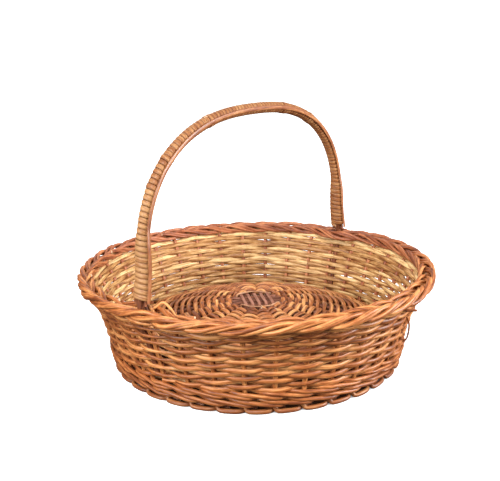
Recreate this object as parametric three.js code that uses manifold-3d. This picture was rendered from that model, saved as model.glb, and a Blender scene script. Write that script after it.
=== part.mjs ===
// A round basket of woven rods with a fixed bow handle.
// Millimetres, +Z up. The origin is on the table under the middle of the basket. The handle stands along X.

import * as THREE from "three";
import { mergeVertices } from "three/addons/utils/BufferGeometryUtils.js";
import Module from "manifold-3d";

const wasm = await Module();
wasm.setup();

// Overall sizes
const rimRadius = 181; // outside of the border
const rimHeight = 97; // top of the border above the table
const footRadius = 150; // outside of the foot
const handleHeight = 258; // top of the wrapped handle above the table
const seatGap = 0.3; // between neighbours that touch on the real basket
const overrun = 1; // how far a cut runs past the piece it cuts
const degree = Math.PI / 180;
const fullTurn = 2 * Math.PI;

// Stakes, foot and border
const stakeCount = 36;
const stakeDiameter = 4.6;
const footRodDiameter = 5;
const borderRodDiameter = 6;
const rodSides = 5;
const plaitSpacings = 3; // stake spacings in which a rod crosses the plaited border and comes back
const plaitSlackShare = 1.14; // room between the plaited rods
const plaitFlatShare = 1.65; // how much wider than high the rods swing
const borderEndShare = 2.85; // stake spacings that a rod runs in the border
const borderStepShare = 0.25; // of a stake spacing
const legShare = 0.75; // of a stake spacing, from the stake before the handle's leg to the leg
const legSpreadShare = 1.5; // stake spacings over which the border opens round a leg
const legInset = 5; // how far the handle's legs pull the border inwards
const footEndShare = 1.4; // stake spacings that a rod runs in the foot
const footTuckShare = 0.85; // of a stake spacing, where it has moved in behind the next stake
const footRunShare = 0.45; // of a stake spacing, where it starts to move in
const footBendShare = 0.12; // of a stake spacing, where it turns up
const footRoomShare = 1.3; // of a rod and its gap, from the outside of the foot to its inside
const straightFlareShare = 0.74; // of the wall's flare, the rest comes in the lip under the border
const lipPower = 6; // how late the lip starts
const wallHeightShares = [0.09, 0.35, 0.62, 0.82, 0.95]; // of the wall's height, where the stakes are bent

// Wale and side weave
const waleRodCount = 3;
const waleDiameter = 4.2;
const waleHeight = 18; // middle of the wale above the table
const waleSpreadShare = 1.15; // of a rod and its gap, height between the two rods outside a stake
const sideRowCount = 12;
const sideWeaverCount = 2;
const sideWeaverThickness = 3;
const rowGap = 0.5; // between the rows
const topRowSetback = 1.6; // from the top row to the stakes' bend under the border
const weaverFaceShare = 0.6; // of a weaver's width, its flat outer face
const buttGap = 1; // between the two ends of one wale rod

// Base
const spokeCount = 18;
const splitStickCount = 5;
const throughStickCount = 4;
const stickDiameter = 4.6;
const splitStickPitch = 7;
const throughStickPitch = 7.5;
const splitSkin = 2; // thickness of each half of a split stick over its slit
const crossHalf = 18; // from the middle to where the sticks fan out
const crossEase = 3.5; // length over which a split stick closes again
const fanRadius = 34; // where the sticks have reached their own directions
const baseEdgeHeight = 20; // middle of the sticks at the wall
const baseCrown = 33; // rise of the base's middle over its edge
const crownSteps = 4; // straight stretches of a stick from the fan to its tip
const tieRadius = 27;
const tieRounds = 2;
const tieWidth = 4.2;
const tieThickness = 2.2;
const tieLift = 0.3; // more room at the tie, where the sticks still fan out
const baseRounds = 18;
const baseWeaverThickness = 2.4;
const baseRowGap = 0.7;
const baseSeatGap = 0.4; // between a weaver of the base and the stick that it bends over
const roundedRounds = 6; // outer rounds of the base with two bends at each stick
const bendPasses = 4; // times that the height of a bend is worked out from its own slope
const stickSides = 6;
const plateauShare = 0.24; // of a spoke spacing, from a stick to such a bend
const crossAxis = 47.5 * degree; // direction of the split sticks, measured from the handle

// Handle
const archHalfWidth = 161.5;
const archBaseRise = 26.4; // of the arch's widest place above the rim
const archPower = 2.48; // of the superellipse: 2 is an ellipse, more is squarer
const archPoints = 17;
const bowDiameter = 8;
const neckDiameter = 6; // of the bow where it goes down through the border and the wall
const legTipHeight = 27;
const bowSteps = 30;
const footSteps = 3; // steps at each end of the arch that are halved, because it bends more there
const bowSides = 6;
const sideRodDiameter = 2.8;
const sideRodTipDiameter = 1.6;
const sideRodLength = 50;
const sideRodSteps = 8;
const sideRodEase = 16; // length over which the winding closes in above the side rods
const caneWidth = 5.1;
const caneThickness = 1.3;
const canePitch = 6.1;
const caneStepsPerTurn = 8;
const caneEndSetback = 3; // from the bow's shoulder to the winding
const leaderWidth = 3.6;
const leaderThickness = 1.2;
const leaderSteps = 16;

// Finishes
const rodRoughness = 0.55;
const caneRoughness = 0.4;
const stakeColor = 0xb0683a;
const splitStickColor = 0xb98a6c;
const throughStickColor = 0xa87550;
const tieColor = 0xd9a878;
const baseWeaverColors = [0xc07a3e, 0xb66c34];
const waleColor = 0xbd7844;
const sideWeaverColors = [0xcf8f56, 0xc58048];
const bowColor = 0x7a3f20;
const caneColor = 0xc98146;
const leaderColor = 0xb4602c;

// Worked out from the above: border and wall
const stakeSpacing = fullTurn / stakeCount;
const legAngles = [0, Math.PI];
const firstStakeAngle = (1 - legShare) * stakeSpacing;
const borderRod = borderRodDiameter / 2;
const plaitHigh = ((borderRodDiameter + seatGap) * plaitSlackShare) / Math.sqrt(plaitSpacings);
const plaitWide = plaitHigh * plaitFlatShare;
const borderRadius = rimRadius - plaitWide - borderRod;
const legRadius = borderRadius - legInset;
const borderHeight = rimHeight - plaitHigh - borderRod;
const wallTop = borderHeight - plaitHigh;
const footOuterRadius = footRadius - footRodDiameter / 2;
const footStep = footRodDiameter + seatGap;
const wallFootRadius = footOuterRadius - footStep;
const footInnerRadius = footOuterRadius - footStep * footRoomShare;
const stripSection = [
  [-1, -1],
  [1, -1],
  [1, 1],
  [-1, 1],
];

function polar(radius, angle, height) {
  return new THREE.Vector3(radius * Math.cos(angle), radius * Math.sin(angle), height);
}

function polygon(sides, startAngle) {
  return Array.from({ length: sides }, (_, i) => {
    const angle = startAngle + (i * fullTurn) / sides;
    return [Math.cos(angle), Math.sin(angle)];
  });
}

// A closed skin over rings of points, each ring counter-clockwise as seen from the end it leads to.
function skin(rings) {
  const sides = rings[0].length;
  const positions = rings.flat().flatMap((point) => [point.x, point.y, point.z]);
  const triangles = [];
  for (let ring = 0; ring + 1 < rings.length; ring += 1) {
    for (let i = 0; i < sides; i += 1) {
      const next = (i + 1) % sides;
      const here = ring * sides;
      const there = here + sides;
      triangles.push(here + i, here + next, there + next);
      triangles.push(here + i, there + next, there + i);
    }
  }
  const end = (rings.length - 1) * sides;
  for (let i = 1; i + 1 < sides; i += 1) {
    triangles.push(0, i + 1, i);
    triangles.push(end, end + i, end + i + 1);
  }
  const geometry = new THREE.BufferGeometry();
  geometry.setAttribute("position", new THREE.Float32BufferAttribute(positions, 3));
  geometry.setIndex(triangles);
  return geometry;
}

// A rod through stations { at, half, tall, up } with mitred bends. half and tall scale the section
// sideways and upwards. A station with no up of its own carries on the section of the one before.
function rod(stations, section) {
  const lastLeg = stations.length - 2;
  const steps = stations.slice(1).map((station, i) => station.at.clone().sub(stations[i].at));
  const directions = steps.map((step) => step.normalize());
  let carried = stations[0].up;
  const rings = stations.map((station, i) => {
    const before = directions[Math.max(i - 1, 0)];
    const after = directions[Math.min(i, lastLeg)];
    const mitre = before.clone().add(after).normalize();
    const side = new THREE.Vector3().crossVectors(station.up ?? carried, before).normalize();
    const above = new THREE.Vector3().crossVectors(before, side);
    carried = above.clone().applyQuaternion(new THREE.Quaternion().setFromUnitVectors(before, after));
    return section.map(([across, along]) => {
      const offset = side.clone().multiplyScalar(across * station.half);
      offset.addScaledVector(above, along * (station.tall ?? station.half));
      offset.addScaledVector(before, -offset.dot(mitre) / before.dot(mitre));
      return offset.add(station.at);
    });
  });
  return skin(rings);
}

// A line of points in the plane of radius and height, with a reading at any distance along it.
function profileLine(points) {
  const runs = [0];
  for (let i = 1; i < points.length; i += 1) {
    runs.push(runs[i - 1] + points[i].distanceTo(points[i - 1]));
  }
  function leg(run) {
    const found = runs.findIndex((end, i) => i > 0 && run <= end);
    return found < 0 ? points.length - 1 : found;
  }
  function at(run) {
    const i = leg(run);
    const share = (run - runs[i - 1]) / (runs[i] - runs[i - 1]);
    const place = points[i - 1].clone().lerp(points[i], share);
    const along = points[i].clone().sub(points[i - 1]).normalize();
    return { radius: place.x, height: place.y, along };
  }
  return { points, runs, at };
}

function interpolate(from, to, share) {
  return from + (to - from) * share;
}

function wallFlare(height) {
  const share = height / wallTop;
  const grown = straightFlareShare * share + (1 - straightFlareShare) * share ** lipPower;
  return interpolate(wallFootRadius, borderRadius, grown);
}

const wallHeights = wallHeightShares.map((share) => share * wallTop);
const wallLine = profileLine(wallHeights.map((height) => new THREE.Vector2(wallFlare(height), height)));

function wallRun(height) {
  const i = Math.max(1, wallHeights.findIndex((top) => height <= top));
  const share = (height - wallHeights[i - 1]) / (wallHeights[i] - wallHeights[i - 1]);
  return interpolate(wallLine.runs[i - 1], wallLine.runs[i], share);
}

// A point off the wall's middle surface, outwards where out is positive, with the direction up the wall.
function offWall(run, out, angle) {
  const { radius, height, along } = wallLine.at(run);
  return {
    at: polar(radius + along.y * out, angle, height - along.x * out),
    up: polar(along.x, angle, along.y),
  };
}

// Stakes. Each ends in a plait of three strands that runs round the rim: it leaves the wall outwards, comes
// up outside, crosses over to the middle, passes under the inner half, comes up inside and ends on top.
function plaitTurn(share) {
  return (fullTurn * share) / plaitSpacings;
}

// Beside a leg one rod passes outside it and two cross inside it, so there the plait is wider and
// stands further in.
const legClear = (neckDiameter + borderRodDiameter) / 2 + seatGap;
const legInnerShare = -Math.sin(plaitTurn(1 + legShare));
let legWide = plaitWide;
for (let pass = 0; pass < bendPasses; pass += 1) {
  const slope = (legWide * legInnerShare) / (borderRadius * borderStepShare * stakeSpacing);
  legWide = (legClear * (1 + Math.hypot(1, slope))) / (1 + legInnerShare);
}
const legSetback = legWide - legClear + legInset;

// How near an angle is to a leg of the handle: 1 at the leg, 0 from some stakes away on.
function legNearness(angle) {
  const spread = legSpreadShare * stakeSpacing;
  const turns = legAngles.map((leg) => angle - leg);
  const nearest = Math.min(...turns.map((turn) => Math.abs(Math.atan2(Math.sin(turn), Math.cos(turn)))));
  return nearest < spread ? Math.cos((Math.PI / 2) * (nearest / spread)) ** 2 : 0;
}

function stakeAngle(index) {
  return firstStakeAngle + index * stakeSpacing;
}

function borderStation(index, share) {
  const angle = stakeAngle(index) + share * stakeSpacing;
  const nearness = legNearness(angle);
  const across = interpolate(plaitWide, legWide, nearness) * Math.sin(plaitTurn(share));
  const height = borderHeight - plaitHigh * Math.sin(2 * plaitTurn(share));
  return { at: polar(borderRadius + across - legSetback * nearness, angle, height), half: borderRod };
}

function stake(index) {
  const angle = stakeAngle(index);
  const half = footRodDiameter / 2;
  const lying = half * Math.cos(Math.PI / rodSides);
  const onTable = (share, radius) => ({
    at: polar(radius, angle + share * stakeSpacing, lying),
    half,
    up: new THREE.Vector3(0, 0, 1),
  });
  const foot = [
    onTable(footEndShare, footInnerRadius),
    onTable(footTuckShare, footInnerRadius),
    onTable(footRunShare, footOuterRadius),
    onTable(footBendShare, footOuterRadius),
  ];
  const upright = wallLine.points.map((point) => ({
    at: polar(point.x, angle, point.y),
    half: stakeDiameter / 2,
  }));
  const border = [];
  for (let share = borderStepShare; share < borderEndShare; share += borderStepShare) {
    border.push(borderStation(index, share));
  }
  border.push(borderStation(index, borderEndShare));
  return rod([...foot, ...upright, ...border], polygon(rodSides, Math.PI / 2 - fullTurn / rodSides));
}

// What the weavers pass at each stake: the stake alone, or a leg of the handle and the stake behind it.
const posts = Array.from({ length: stakeCount }, (_, index) => {
  const stakePost = { angle: stakeAngle(index), half: stakeDiameter / 2 };
  const beforeLeg = (angle) => stakePost.angle - angle - firstStakeAngle;
  const leg = legAngles.find((angle) => Math.abs(beforeLeg(angle)) < stakeSpacing / 2);
  return leg === undefined ? [stakePost] : [{ angle: leg, half: neckDiameter / 2 }, stakePost];
});

// The bends of a weaver from one stake to another: sideOf(index) is 1 outside that stake and -1 inside it.
function bends(first, count, sideOf) {
  const list = [];
  for (let index = first; index <= first + count; index += 1) {
    const turned = Math.floor(index / stakeCount) * fullTurn;
    for (const post of posts[index % stakeCount]) {
      list.push({ index, angle: post.angle + turned, half: post.half, side: sideOf(index) });
    }
  }
  return list;
}

// How far a bend lies from the wall's middle, so that the slanted stretches beside it clear the stake too.
function bendOffset(list, i, halfThickness) {
  const bend = list[i];
  const need = (other) => other.half + seatGap + halfThickness;
  const between = (other) => wallFootRadius * Math.abs(other.angle - bend.angle);
  const slope = (other) => (need(bend) + need(other)) / between(other);
  const across = [list[i - 1], list[i + 1]].filter((other) => other && other.side !== bend.side);
  return need(bend) * Math.hypot(1, Math.max(0, ...across.map(slope)));
}

// Wale: each rod goes outside two stakes and inside the third, one stake behind the rod before it
const waleHalf = waleDiameter / 2;
const waleSpread = waleSpreadShare * (waleDiameter + seatGap);
const waleNeed = stakeDiameter / 2 + seatGap + waleHalf;
const waleSlope = (2 * waleNeed) / (wallFootRadius * stakeSpacing);
const waleOffset = waleNeed * Math.hypot(1, waleSlope);

function waleRod(number) {
  const behind = waleRodCount - 1;
  const phase = (index) => (index - number + stakeCount) % waleRodCount;
  const list = bends(number + behind, stakeCount, (index) => (phase(index) === behind ? -1 : 1));
  const trim = buttGap / 2 / wallFootRadius;
  const riseShare = (bend) => (bend.side < 0 ? 0 : 0.5 - phase(bend.index));
  const station = (share, out, angle) => ({
    ...offWall(wallRun(waleHeight + share * waleSpread), out, angle),
    half: waleHalf,
  });
  const stations = [];
  for (const [i, bend] of list.entries()) {
    const next = list[i + 1];
    const cut = i === 0 ? trim : next ? 0 : -trim;
    stations.push(station(riseShare(bend), bend.side * bendOffset(list, i, waleHalf), bend.angle + cut));
    if (next && next.side !== bend.side) {
      const outer = bend.side > 0 ? bend : next;
      stations.push(station(riseShare(outer), 0, (bend.angle + next.angle) / 2));
    }
  }
  return rod(stations, polygon(rodSides, 0));
}

// Side weave: two weavers climb the wall half a turn apart, each in the rows that the other leaves free.
const sideBottomRun = wallRun(waleHeight + waleSpread / 2 + waleHalf + seatGap);
const sideTopRun = wallLine.runs.at(-1) - topRowSetback;
const rowPitch = (sideTopRun - sideBottomRun + rowGap) / (sideRowCount + 1);
const weaverSection = [
  [-1, -weaverFaceShare],
  [1, -1],
  [1, 1],
  [-1, weaverFaceShare],
];

function sideWeaver(number) {
  const first = (number * stakeCount) / sideWeaverCount;
  const count = (sideRowCount * stakeCount) / sideWeaverCount;
  const list = bends(first, count, (index) => ((index + number) % 2 === 0 ? -1 : 1));
  const half = sideWeaverThickness / 2;
  const tall = (rowPitch - rowGap) / 2;
  const start = list[0].angle;
  const stations = list.map((bend, i) => {
    const climbed = ((bend.angle - start) / fullTurn) * sideWeaverCount * rowPitch;
    const out = bend.side * bendOffset(list, i, half);
    return { ...offWall(sideBottomRun + tall + climbed, out, bend.angle), half, tall };
  });
  return rod(stations, weaverSection);
}

// Base: crowned, with straight stretches between the radii where its sticks bend
const stickHalf = stickDiameter / 2;
const stickSection = polygon(stickSides, 0);
const stickFlatShare = Math.sin(fullTurn / stickSides); // height of the section's flat over its half width
const stickTop = stickHalf * stickFlatShare;
const stickFlatHalf = stickHalf * Math.cos(fullTurn / stickSides);
const spokeSpacing = fullTurn / spokeCount;
const edgeRun = wallRun(baseEdgeHeight);
const edgeRadius = wallLine.at(edgeRun).radius - waleHalf - seatGap - waleSlope * stickHalf;
const edgeSlope = (2 * baseCrown) / edgeRadius;
const spokeTipRadius = edgeRadius - stickTop * edgeSlope;

function crownFall(radius) {
  return baseEdgeHeight + baseCrown * (1 - (radius / spokeTipRadius) ** 2);
}

const crownRadii = [0, crossHalf, fanRadius];
for (let step = 1; step <= crownSteps; step += 1) {
  crownRadii.push(interpolate(fanRadius, spokeTipRadius, step / crownSteps));
}
const crownLine = crownRadii.map((radius) => {
  return new THREE.Vector2(radius, crownFall(Math.max(radius, crossHalf)));
});

// A point off the base's middle surface, upwards where above is positive, with the direction square to it.
function offCrown(radius, above, angle) {
  const found = crownLine.findIndex((point, i) => i > 0 && radius <= point.x);
  const i = found < 0 ? crownLine.length - 1 : found;
  const share = (radius - crownLine[i - 1].x) / (crownLine[i].x - crownLine[i - 1].x);
  const along = crownLine[i].clone().sub(crownLine[i - 1]).normalize();
  const height = interpolate(crownLine[i - 1].y, crownLine[i].y, share);
  return {
    at: polar(radius - along.y * above, angle, height + along.x * above),
    up: polar(-along.y, angle, along.x),
  };
}

// Half of a stick, from the cross outwards: lane is its distance from the axis of its own group.
function stickHalfStations(axis, lane, fan) {
  const shoulder = polar(Math.hypot(crossHalf, lane), axis + Math.atan2(lane, crossHalf), crownLine[1].y);
  const spokes = crownLine.slice(2).map((point) => polar(point.x, axis + fan, point.y));
  return [shoulder, ...spokes].map((at) => ({ at, half: stickHalf, up: new THREE.Vector3(0, 0, 1) }));
}

function stickStations(axis, lane, fan, middle) {
  const near = stickHalfStations(axis + Math.PI, -lane, -fan).reverse();
  return [...near, ...middle, ...stickHalfStations(axis, lane, fan)];
}

function throughStick(number) {
  const place = number - (throughStickCount - 1) / 2;
  const axis = crossAxis + Math.PI / 2;
  return rod(stickStations(axis, place * throughStickPitch, place * spokeSpacing, []), stickSection);
}

function toManifold(geometry) {
  const bare = geometry.clone();
  bare.deleteAttribute("normal");
  bare.deleteAttribute("uv");
  const merged = mergeVertices(bare);
  return new wasm.Manifold(
    new wasm.Mesh({
      numProp: 3,
      vertProperties: new Float32Array(merged.attributes.position.array),
      triVerts: new Uint32Array(merged.index.array),
    }),
  );
}

function fromManifold(body) {
  const mesh = body.getMesh();
  const geometry = new THREE.BufferGeometry();
  geometry.setAttribute("position", new THREE.Float32BufferAttribute(mesh.vertProperties, 3));
  geometry.setIndex(Array.from(mesh.triVerts));
  return geometry;
}

function splitStick(number) {
  const place = number - (splitStickCount - 1) / 2;
  const lane = place * splitStickPitch;
  const slitHalfHeight = stickTop + seatGap;
  const slitHalfLength = ((throughStickCount - 1) / 2) * throughStickPitch + stickHalf + seatGap;
  const tall = (slitHalfHeight + splitSkin) / stickFlatShare;
  const swell = crossHalf - crossEase;
  const middle = [-swell, swell].map((along) => ({
    at: polar(Math.hypot(along, lane), crossAxis + Math.atan2(lane, along), crownLine[1].y),
    half: stickHalf,
    tall,
    up: new THREE.Vector3(0, 0, 1),
  }));
  const whole = rod(stickStations(crossAxis, lane, place * spokeSpacing, middle), stickSection);
  const slit = new THREE.BoxGeometry(2 * slitHalfLength, stickDiameter + 2 * overrun, 2 * slitHalfHeight);
  slit.rotateZ(crossAxis);
  const centre = polar(lane, crossAxis + Math.PI / 2, crownLine[1].y);
  slit.translate(centre.x, centre.y, centre.z);
  return fromManifold(toManifold(whole).subtract(toManifold(slit)));
}

// The tie goes round the cross, over the five split sticks and under the four others.
const tieHalf = tieThickness / 2;
const tieMargin = (2 * stickHalf) / tieRadius;
const tiePitch = tieWidth + baseRowGap;

function tieRod() {
  const groups = [
    { middle: 0, count: splitStickCount, side: 1 },
    { middle: Math.PI / 2, count: throughStickCount, side: -1 },
    { middle: Math.PI, count: splitStickCount, side: 1 },
    { middle: -Math.PI / 2 + fullTurn, count: throughStickCount, side: -1 },
  ];
  const stations = [];
  for (let round = 0; round < tieRounds; round += 1) {
    for (const group of groups) {
      const reach = ((group.count - 1) / 2) * spokeSpacing + tieMargin;
      for (let i = 0; i < group.count; i += 1) {
        const turned = group.middle + interpolate(-reach, reach, i / (group.count - 1));
        const radius = tieRadius + (round + turned / fullTurn) * tiePitch;
        const above = group.side * (stickTop + seatGap + tieLift + tieHalf);
        const place = offCrown(radius, above, crossAxis + turned);
        stations.push({ ...place, half: tieWidth / 2, tall: tieHalf });
      }
    }
  }
  return rod(stations, stripSection);
}

// Base weave: two weavers wind outwards half a turn apart, one over the sticks that the other goes under.
const baseHalf = baseWeaverThickness / 2;
const tieEndRadius = tieRadius + tieRounds * tiePitch + tieWidth / 2;
const waleInnerRadius = wallLine.at(wallRun(waleHeight)).radius - waleOffset - waleHalf;
const basePitch = (waleInnerRadius - seatGap - tieEndRadius) / (baseRounds + 1);
const baseWeaverWidth = basePitch - baseRowGap;
const baseStartRadius = tieEndRadius + basePitch / 2 + baseRowGap / 2;

// Height of a bend over a stick, so that the slanted stretches beside it clear the stick's edges.
function baseBendHeight(radius) {
  let height = stickTop + baseSeatGap + baseHalf;
  for (let pass = 0; pass < bendPasses; pass += 1) {
    const slope = (2 * height) / (radius * spokeSpacing);
    height = stickTop + (baseSeatGap + baseHalf) * Math.hypot(1, slope) + stickFlatHalf * slope;
  }
  return height;
}

function baseWeaver(number) {
  const start = (number * spokeCount) / 2;
  const stations = [];
  for (let step = 0; step <= (baseRounds * spokeCount) / 2; step += 1) {
    const roundsLeft = baseRounds - (2 * step) / spokeCount;
    const side = (start + step + number) % 2 === 0 ? 1 : -1;
    const shares = roundsLeft < roundedRounds ? [-plateauShare, plateauShare] : [0];
    for (const share of shares) {
      const radius = baseStartRadius + ((2 * (step + share)) / spokeCount) * basePitch;
      const height = shares.length > 1 ? stickTop + baseSeatGap + baseHalf : baseBendHeight(radius);
      const angle = crossAxis + (start + step + share) * spokeSpacing;
      const place = offCrown(radius, side * height, angle);
      stations.push({ ...place, half: baseWeaverWidth / 2, tall: baseHalf });
    }
  }
  return rod(stations, [
    [-1, -1],
    [1, -1],
    [weaverFaceShare, 1],
    [-weaverFaceShare, 1],
  ]);
}

// Handle: a superellipse arch that stands on the border, with a shoulder where the bow leaves its winding
const bowHalf = bowDiameter / 2;
const windingReach = (bowHalf + seatGap) / Math.cos(Math.PI / caneStepsPerTurn);
const archTop = handleHeight - windingReach - caneThickness;
const archBaseHeight = rimHeight + archBaseRise;
const shoulderHeight = rimHeight + seatGap;

function archPoint(angle) {
  const across = Math.sign(Math.cos(angle)) * Math.abs(Math.cos(angle)) ** (2 / archPower);
  const up = Math.sin(angle) ** (2 / archPower);
  return new THREE.Vector3(archHalfWidth * across, 0, interpolate(archBaseHeight, archTop, up));
}

const arch = new THREE.CatmullRomCurve3(
  [
    new THREE.Vector3(legRadius, 0, shoulderHeight),
    ...Array.from({ length: archPoints }, (_, i) => archPoint((Math.PI * i) / (archPoints - 1))),
    new THREE.Vector3(-legRadius, 0, shoulderHeight),
  ],
  false,
  "centripetal",
);
const archLength = arch.getLength();

// Place and directions of the arch at a distance along it: out is away from the arch's middle.
function archAt(run) {
  const share = Math.min(Math.max(run / archLength, 0), 1);
  const along = arch.getTangentAt(share);
  const sideways = new THREE.Vector3(0, 1, 0);
  return { at: arch.getPointAt(share), along, sideways, out: sideways.clone().cross(along).negate() };
}

function bow() {
  const legPlaces = [
    new THREE.Vector2(wallLine.at(wallRun(legTipHeight)).radius, legTipHeight),
    ...wallLine.points.slice(1),
    new THREE.Vector2(legRadius, borderHeight - plaitHigh),
    new THREE.Vector2(legRadius, rimHeight - borderRod),
  ];
  const legStations = (angle) =>
    legPlaces.map((place) => ({ at: polar(place.x, angle, place.y), half: neckDiameter / 2 }));
  const arched = [];
  for (let step = 0; step <= bowSteps; step += 0.5) {
    if (Number.isInteger(step) || Math.min(step, bowSteps - step) < footSteps) {
      arched.push({ at: archAt((archLength * step) / bowSteps).at, half: bowHalf });
    }
  }
  const stations = [...legStations(0), ...arched, ...legStations(Math.PI).reverse()];
  stations[0].up = new THREE.Vector3(0, 1, 0);
  return rod(stations, polygon(bowSides, 0));
}

function sideRodHalf(run) {
  return interpolate(sideRodDiameter / 2, sideRodTipDiameter / 2, Math.min(run / sideRodLength, 1));
}

function sideRod(end, side) {
  const stations = Array.from({ length: sideRodSteps + 1 }, (_, i) => {
    const run = (sideRodLength * i) / sideRodSteps;
    const place = archAt(end === 0 ? run : archLength - run);
    const half = sideRodHalf(run);
    return { at: place.at.addScaledVector(place.sideways, side * (bowHalf + seatGap + half)), half };
  });
  stations[0].up = new THREE.Vector3(0, 1, 0);
  return rod(stations, polygon(bowSides, 0));
}

// Half width of the winding's inside across the handle: the side rods spread it near both ends.
function windingSpread(run) {
  const fromEnd = Math.min(run, archLength - run);
  const packed = 2 * sideRodHalf(fromEnd) + seatGap;
  const ease = 1 - Math.min(Math.max((fromEnd - sideRodLength) / sideRodEase, 0), 1);
  return windingReach + (packed * ease) / Math.cos(Math.PI / caneStepsPerTurn);
}

function windingPoint(run, turned, above) {
  const { at, sideways, out } = archAt(run);
  at.addScaledVector(out, (windingReach + above) * Math.cos(turned));
  return at.addScaledVector(sideways, (windingSpread(run) + above) * Math.sin(turned));
}

function caneWinding() {
  const rings = [];
  const first = caneEndSetback + caneWidth / 2;
  const steps = Math.floor(((archLength - 2 * first) / canePitch) * caneStepsPerTurn);
  let leastGap = Infinity;
  for (let step = 0; step <= steps; step += 1) {
    const run = first + (step * canePitch) / caneStepsPerTurn;
    const turned = (step / caneStepsPerTurn) * fullTurn;
    const back = windingPoint(run - caneWidth / 2, turned, 0);
    const front = windingPoint(run + caneWidth / 2, turned, 0);
    const nextBack = windingPoint(run + canePitch - caneWidth / 2, turned, 0);
    leastGap = Math.min(leastGap, front.distanceTo(nextBack));
    rings.push([front, back, windingPoint(run, turned, caneThickness)]);
  }
  const turns = Math.floor(steps / caneStepsPerTurn);
  console.log(`cane winding: ${turns} turns, least gap ${leastGap.toFixed(2)} mm`);
  return skin(rings);
}

function leader() {
  const wide = sideRodLength + sideRodEase;
  const inner = archLength - 2 * wide;
  const runs = [caneEndSetback, sideRodLength];
  for (let i = 0; i <= leaderSteps; i += 1) {
    runs.push(wide + (inner * i) / leaderSteps);
  }
  runs.push(archLength - sideRodLength, archLength - caneEndSetback);
  const stations = runs.map((run) => {
    const { at, sideways } = archAt(run);
    const aside = windingSpread(run) + caneThickness + seatGap + leaderThickness / 2;
    const station = { at: at.addScaledVector(sideways, -aside), up: sideways };
    return { ...station, half: leaderWidth / 2, tall: leaderThickness / 2 };
  });
  return rod(stations, stripSection);
}

const basket = new THREE.Group();

function add(name, geometry, color, roughness) {
  const mesh = new THREE.Mesh(geometry, new THREE.MeshStandardMaterial({ color, roughness, metalness: 0 }));
  mesh.name = name;
  basket.add(mesh);
}

for (let index = 0; index < stakeCount; index += 1) {
  add(`stake_${String(index + 1).padStart(2, "0")}`, stake(index), stakeColor, rodRoughness);
}
for (let number = 0; number < splitStickCount; number += 1) {
  add(`split_stick_${number + 1}`, splitStick(number), splitStickColor, rodRoughness);
}
for (let number = 0; number < throughStickCount; number += 1) {
  add(`through_stick_${number + 1}`, throughStick(number), throughStickColor, rodRoughness);
}
add("base_tie", tieRod(), tieColor, rodRoughness);
for (const number of [0, 1]) {
  add(`base_weaver_${number + 1}`, baseWeaver(number), baseWeaverColors[number], rodRoughness);
}
for (let number = 0; number < waleRodCount; number += 1) {
  add(`wale_rod_${number + 1}`, waleRod(number), waleColor, rodRoughness);
}
for (let number = 0; number < sideWeaverCount; number += 1) {
  add(`side_weaver_${number + 1}`, sideWeaver(number), sideWeaverColors[number], rodRoughness);
}
add("handle_bow", bow(), bowColor, rodRoughness);
for (const [end, endName] of ["right", "left"].entries()) {
  for (const [sideName, side] of [["front", -1], ["back", 1]]) {
    add(`handle_side_rod_${endName}_${sideName}`, sideRod(end, side), bowColor, rodRoughness);
  }
}
add("handle_winding", caneWinding(), caneColor, caneRoughness);
add("handle_leader", leader(), leaderColor, caneRoughness);

export default basket;
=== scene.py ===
"""Dresses a packed round basket: smooth tapered rods, wrapped cane and a pale studio.

Every size repeats the solid model's own formulas, in metres, so each piece lies on the solid it stands for.
"""

import logging
import math
from dataclasses import dataclass, field
from enum import Enum
from typing import Any, Callable, Iterator, Sequence

import bpy
import numpy as np
from mathutils import Matrix, Vector


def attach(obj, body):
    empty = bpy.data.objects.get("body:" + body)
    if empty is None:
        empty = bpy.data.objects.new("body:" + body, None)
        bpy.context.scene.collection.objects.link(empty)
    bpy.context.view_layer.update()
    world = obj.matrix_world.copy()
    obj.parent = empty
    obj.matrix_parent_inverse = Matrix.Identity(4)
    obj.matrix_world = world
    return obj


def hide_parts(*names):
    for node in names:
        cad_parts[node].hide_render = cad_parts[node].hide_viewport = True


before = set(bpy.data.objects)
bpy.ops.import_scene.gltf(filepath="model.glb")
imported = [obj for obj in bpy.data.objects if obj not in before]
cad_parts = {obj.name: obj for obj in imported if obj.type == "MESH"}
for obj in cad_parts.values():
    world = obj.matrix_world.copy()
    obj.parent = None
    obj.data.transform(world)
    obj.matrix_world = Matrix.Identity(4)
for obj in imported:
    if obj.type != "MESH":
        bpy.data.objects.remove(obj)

LOG = logging.getLogger("basket")
MM = 0.001
DEGREE = math.pi / 180
FULL_TURN = 2 * math.pi
UPWARDS = (0.0, 0.0, 1.0)
SIDEWAYS = (0.0, 1.0, 0.0)
LEG_ANGLES = (0.0, math.pi)
FRONT_ANGLE = 217 * DEGREE
BODY = "root"
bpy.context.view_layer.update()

Color = tuple[float, float, float]
Range = tuple[float, float]


class Side(Enum):
    """Where a weaver passes a rod, as the sign of its offset."""

    OVER = 1
    UNDER = -1


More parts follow.
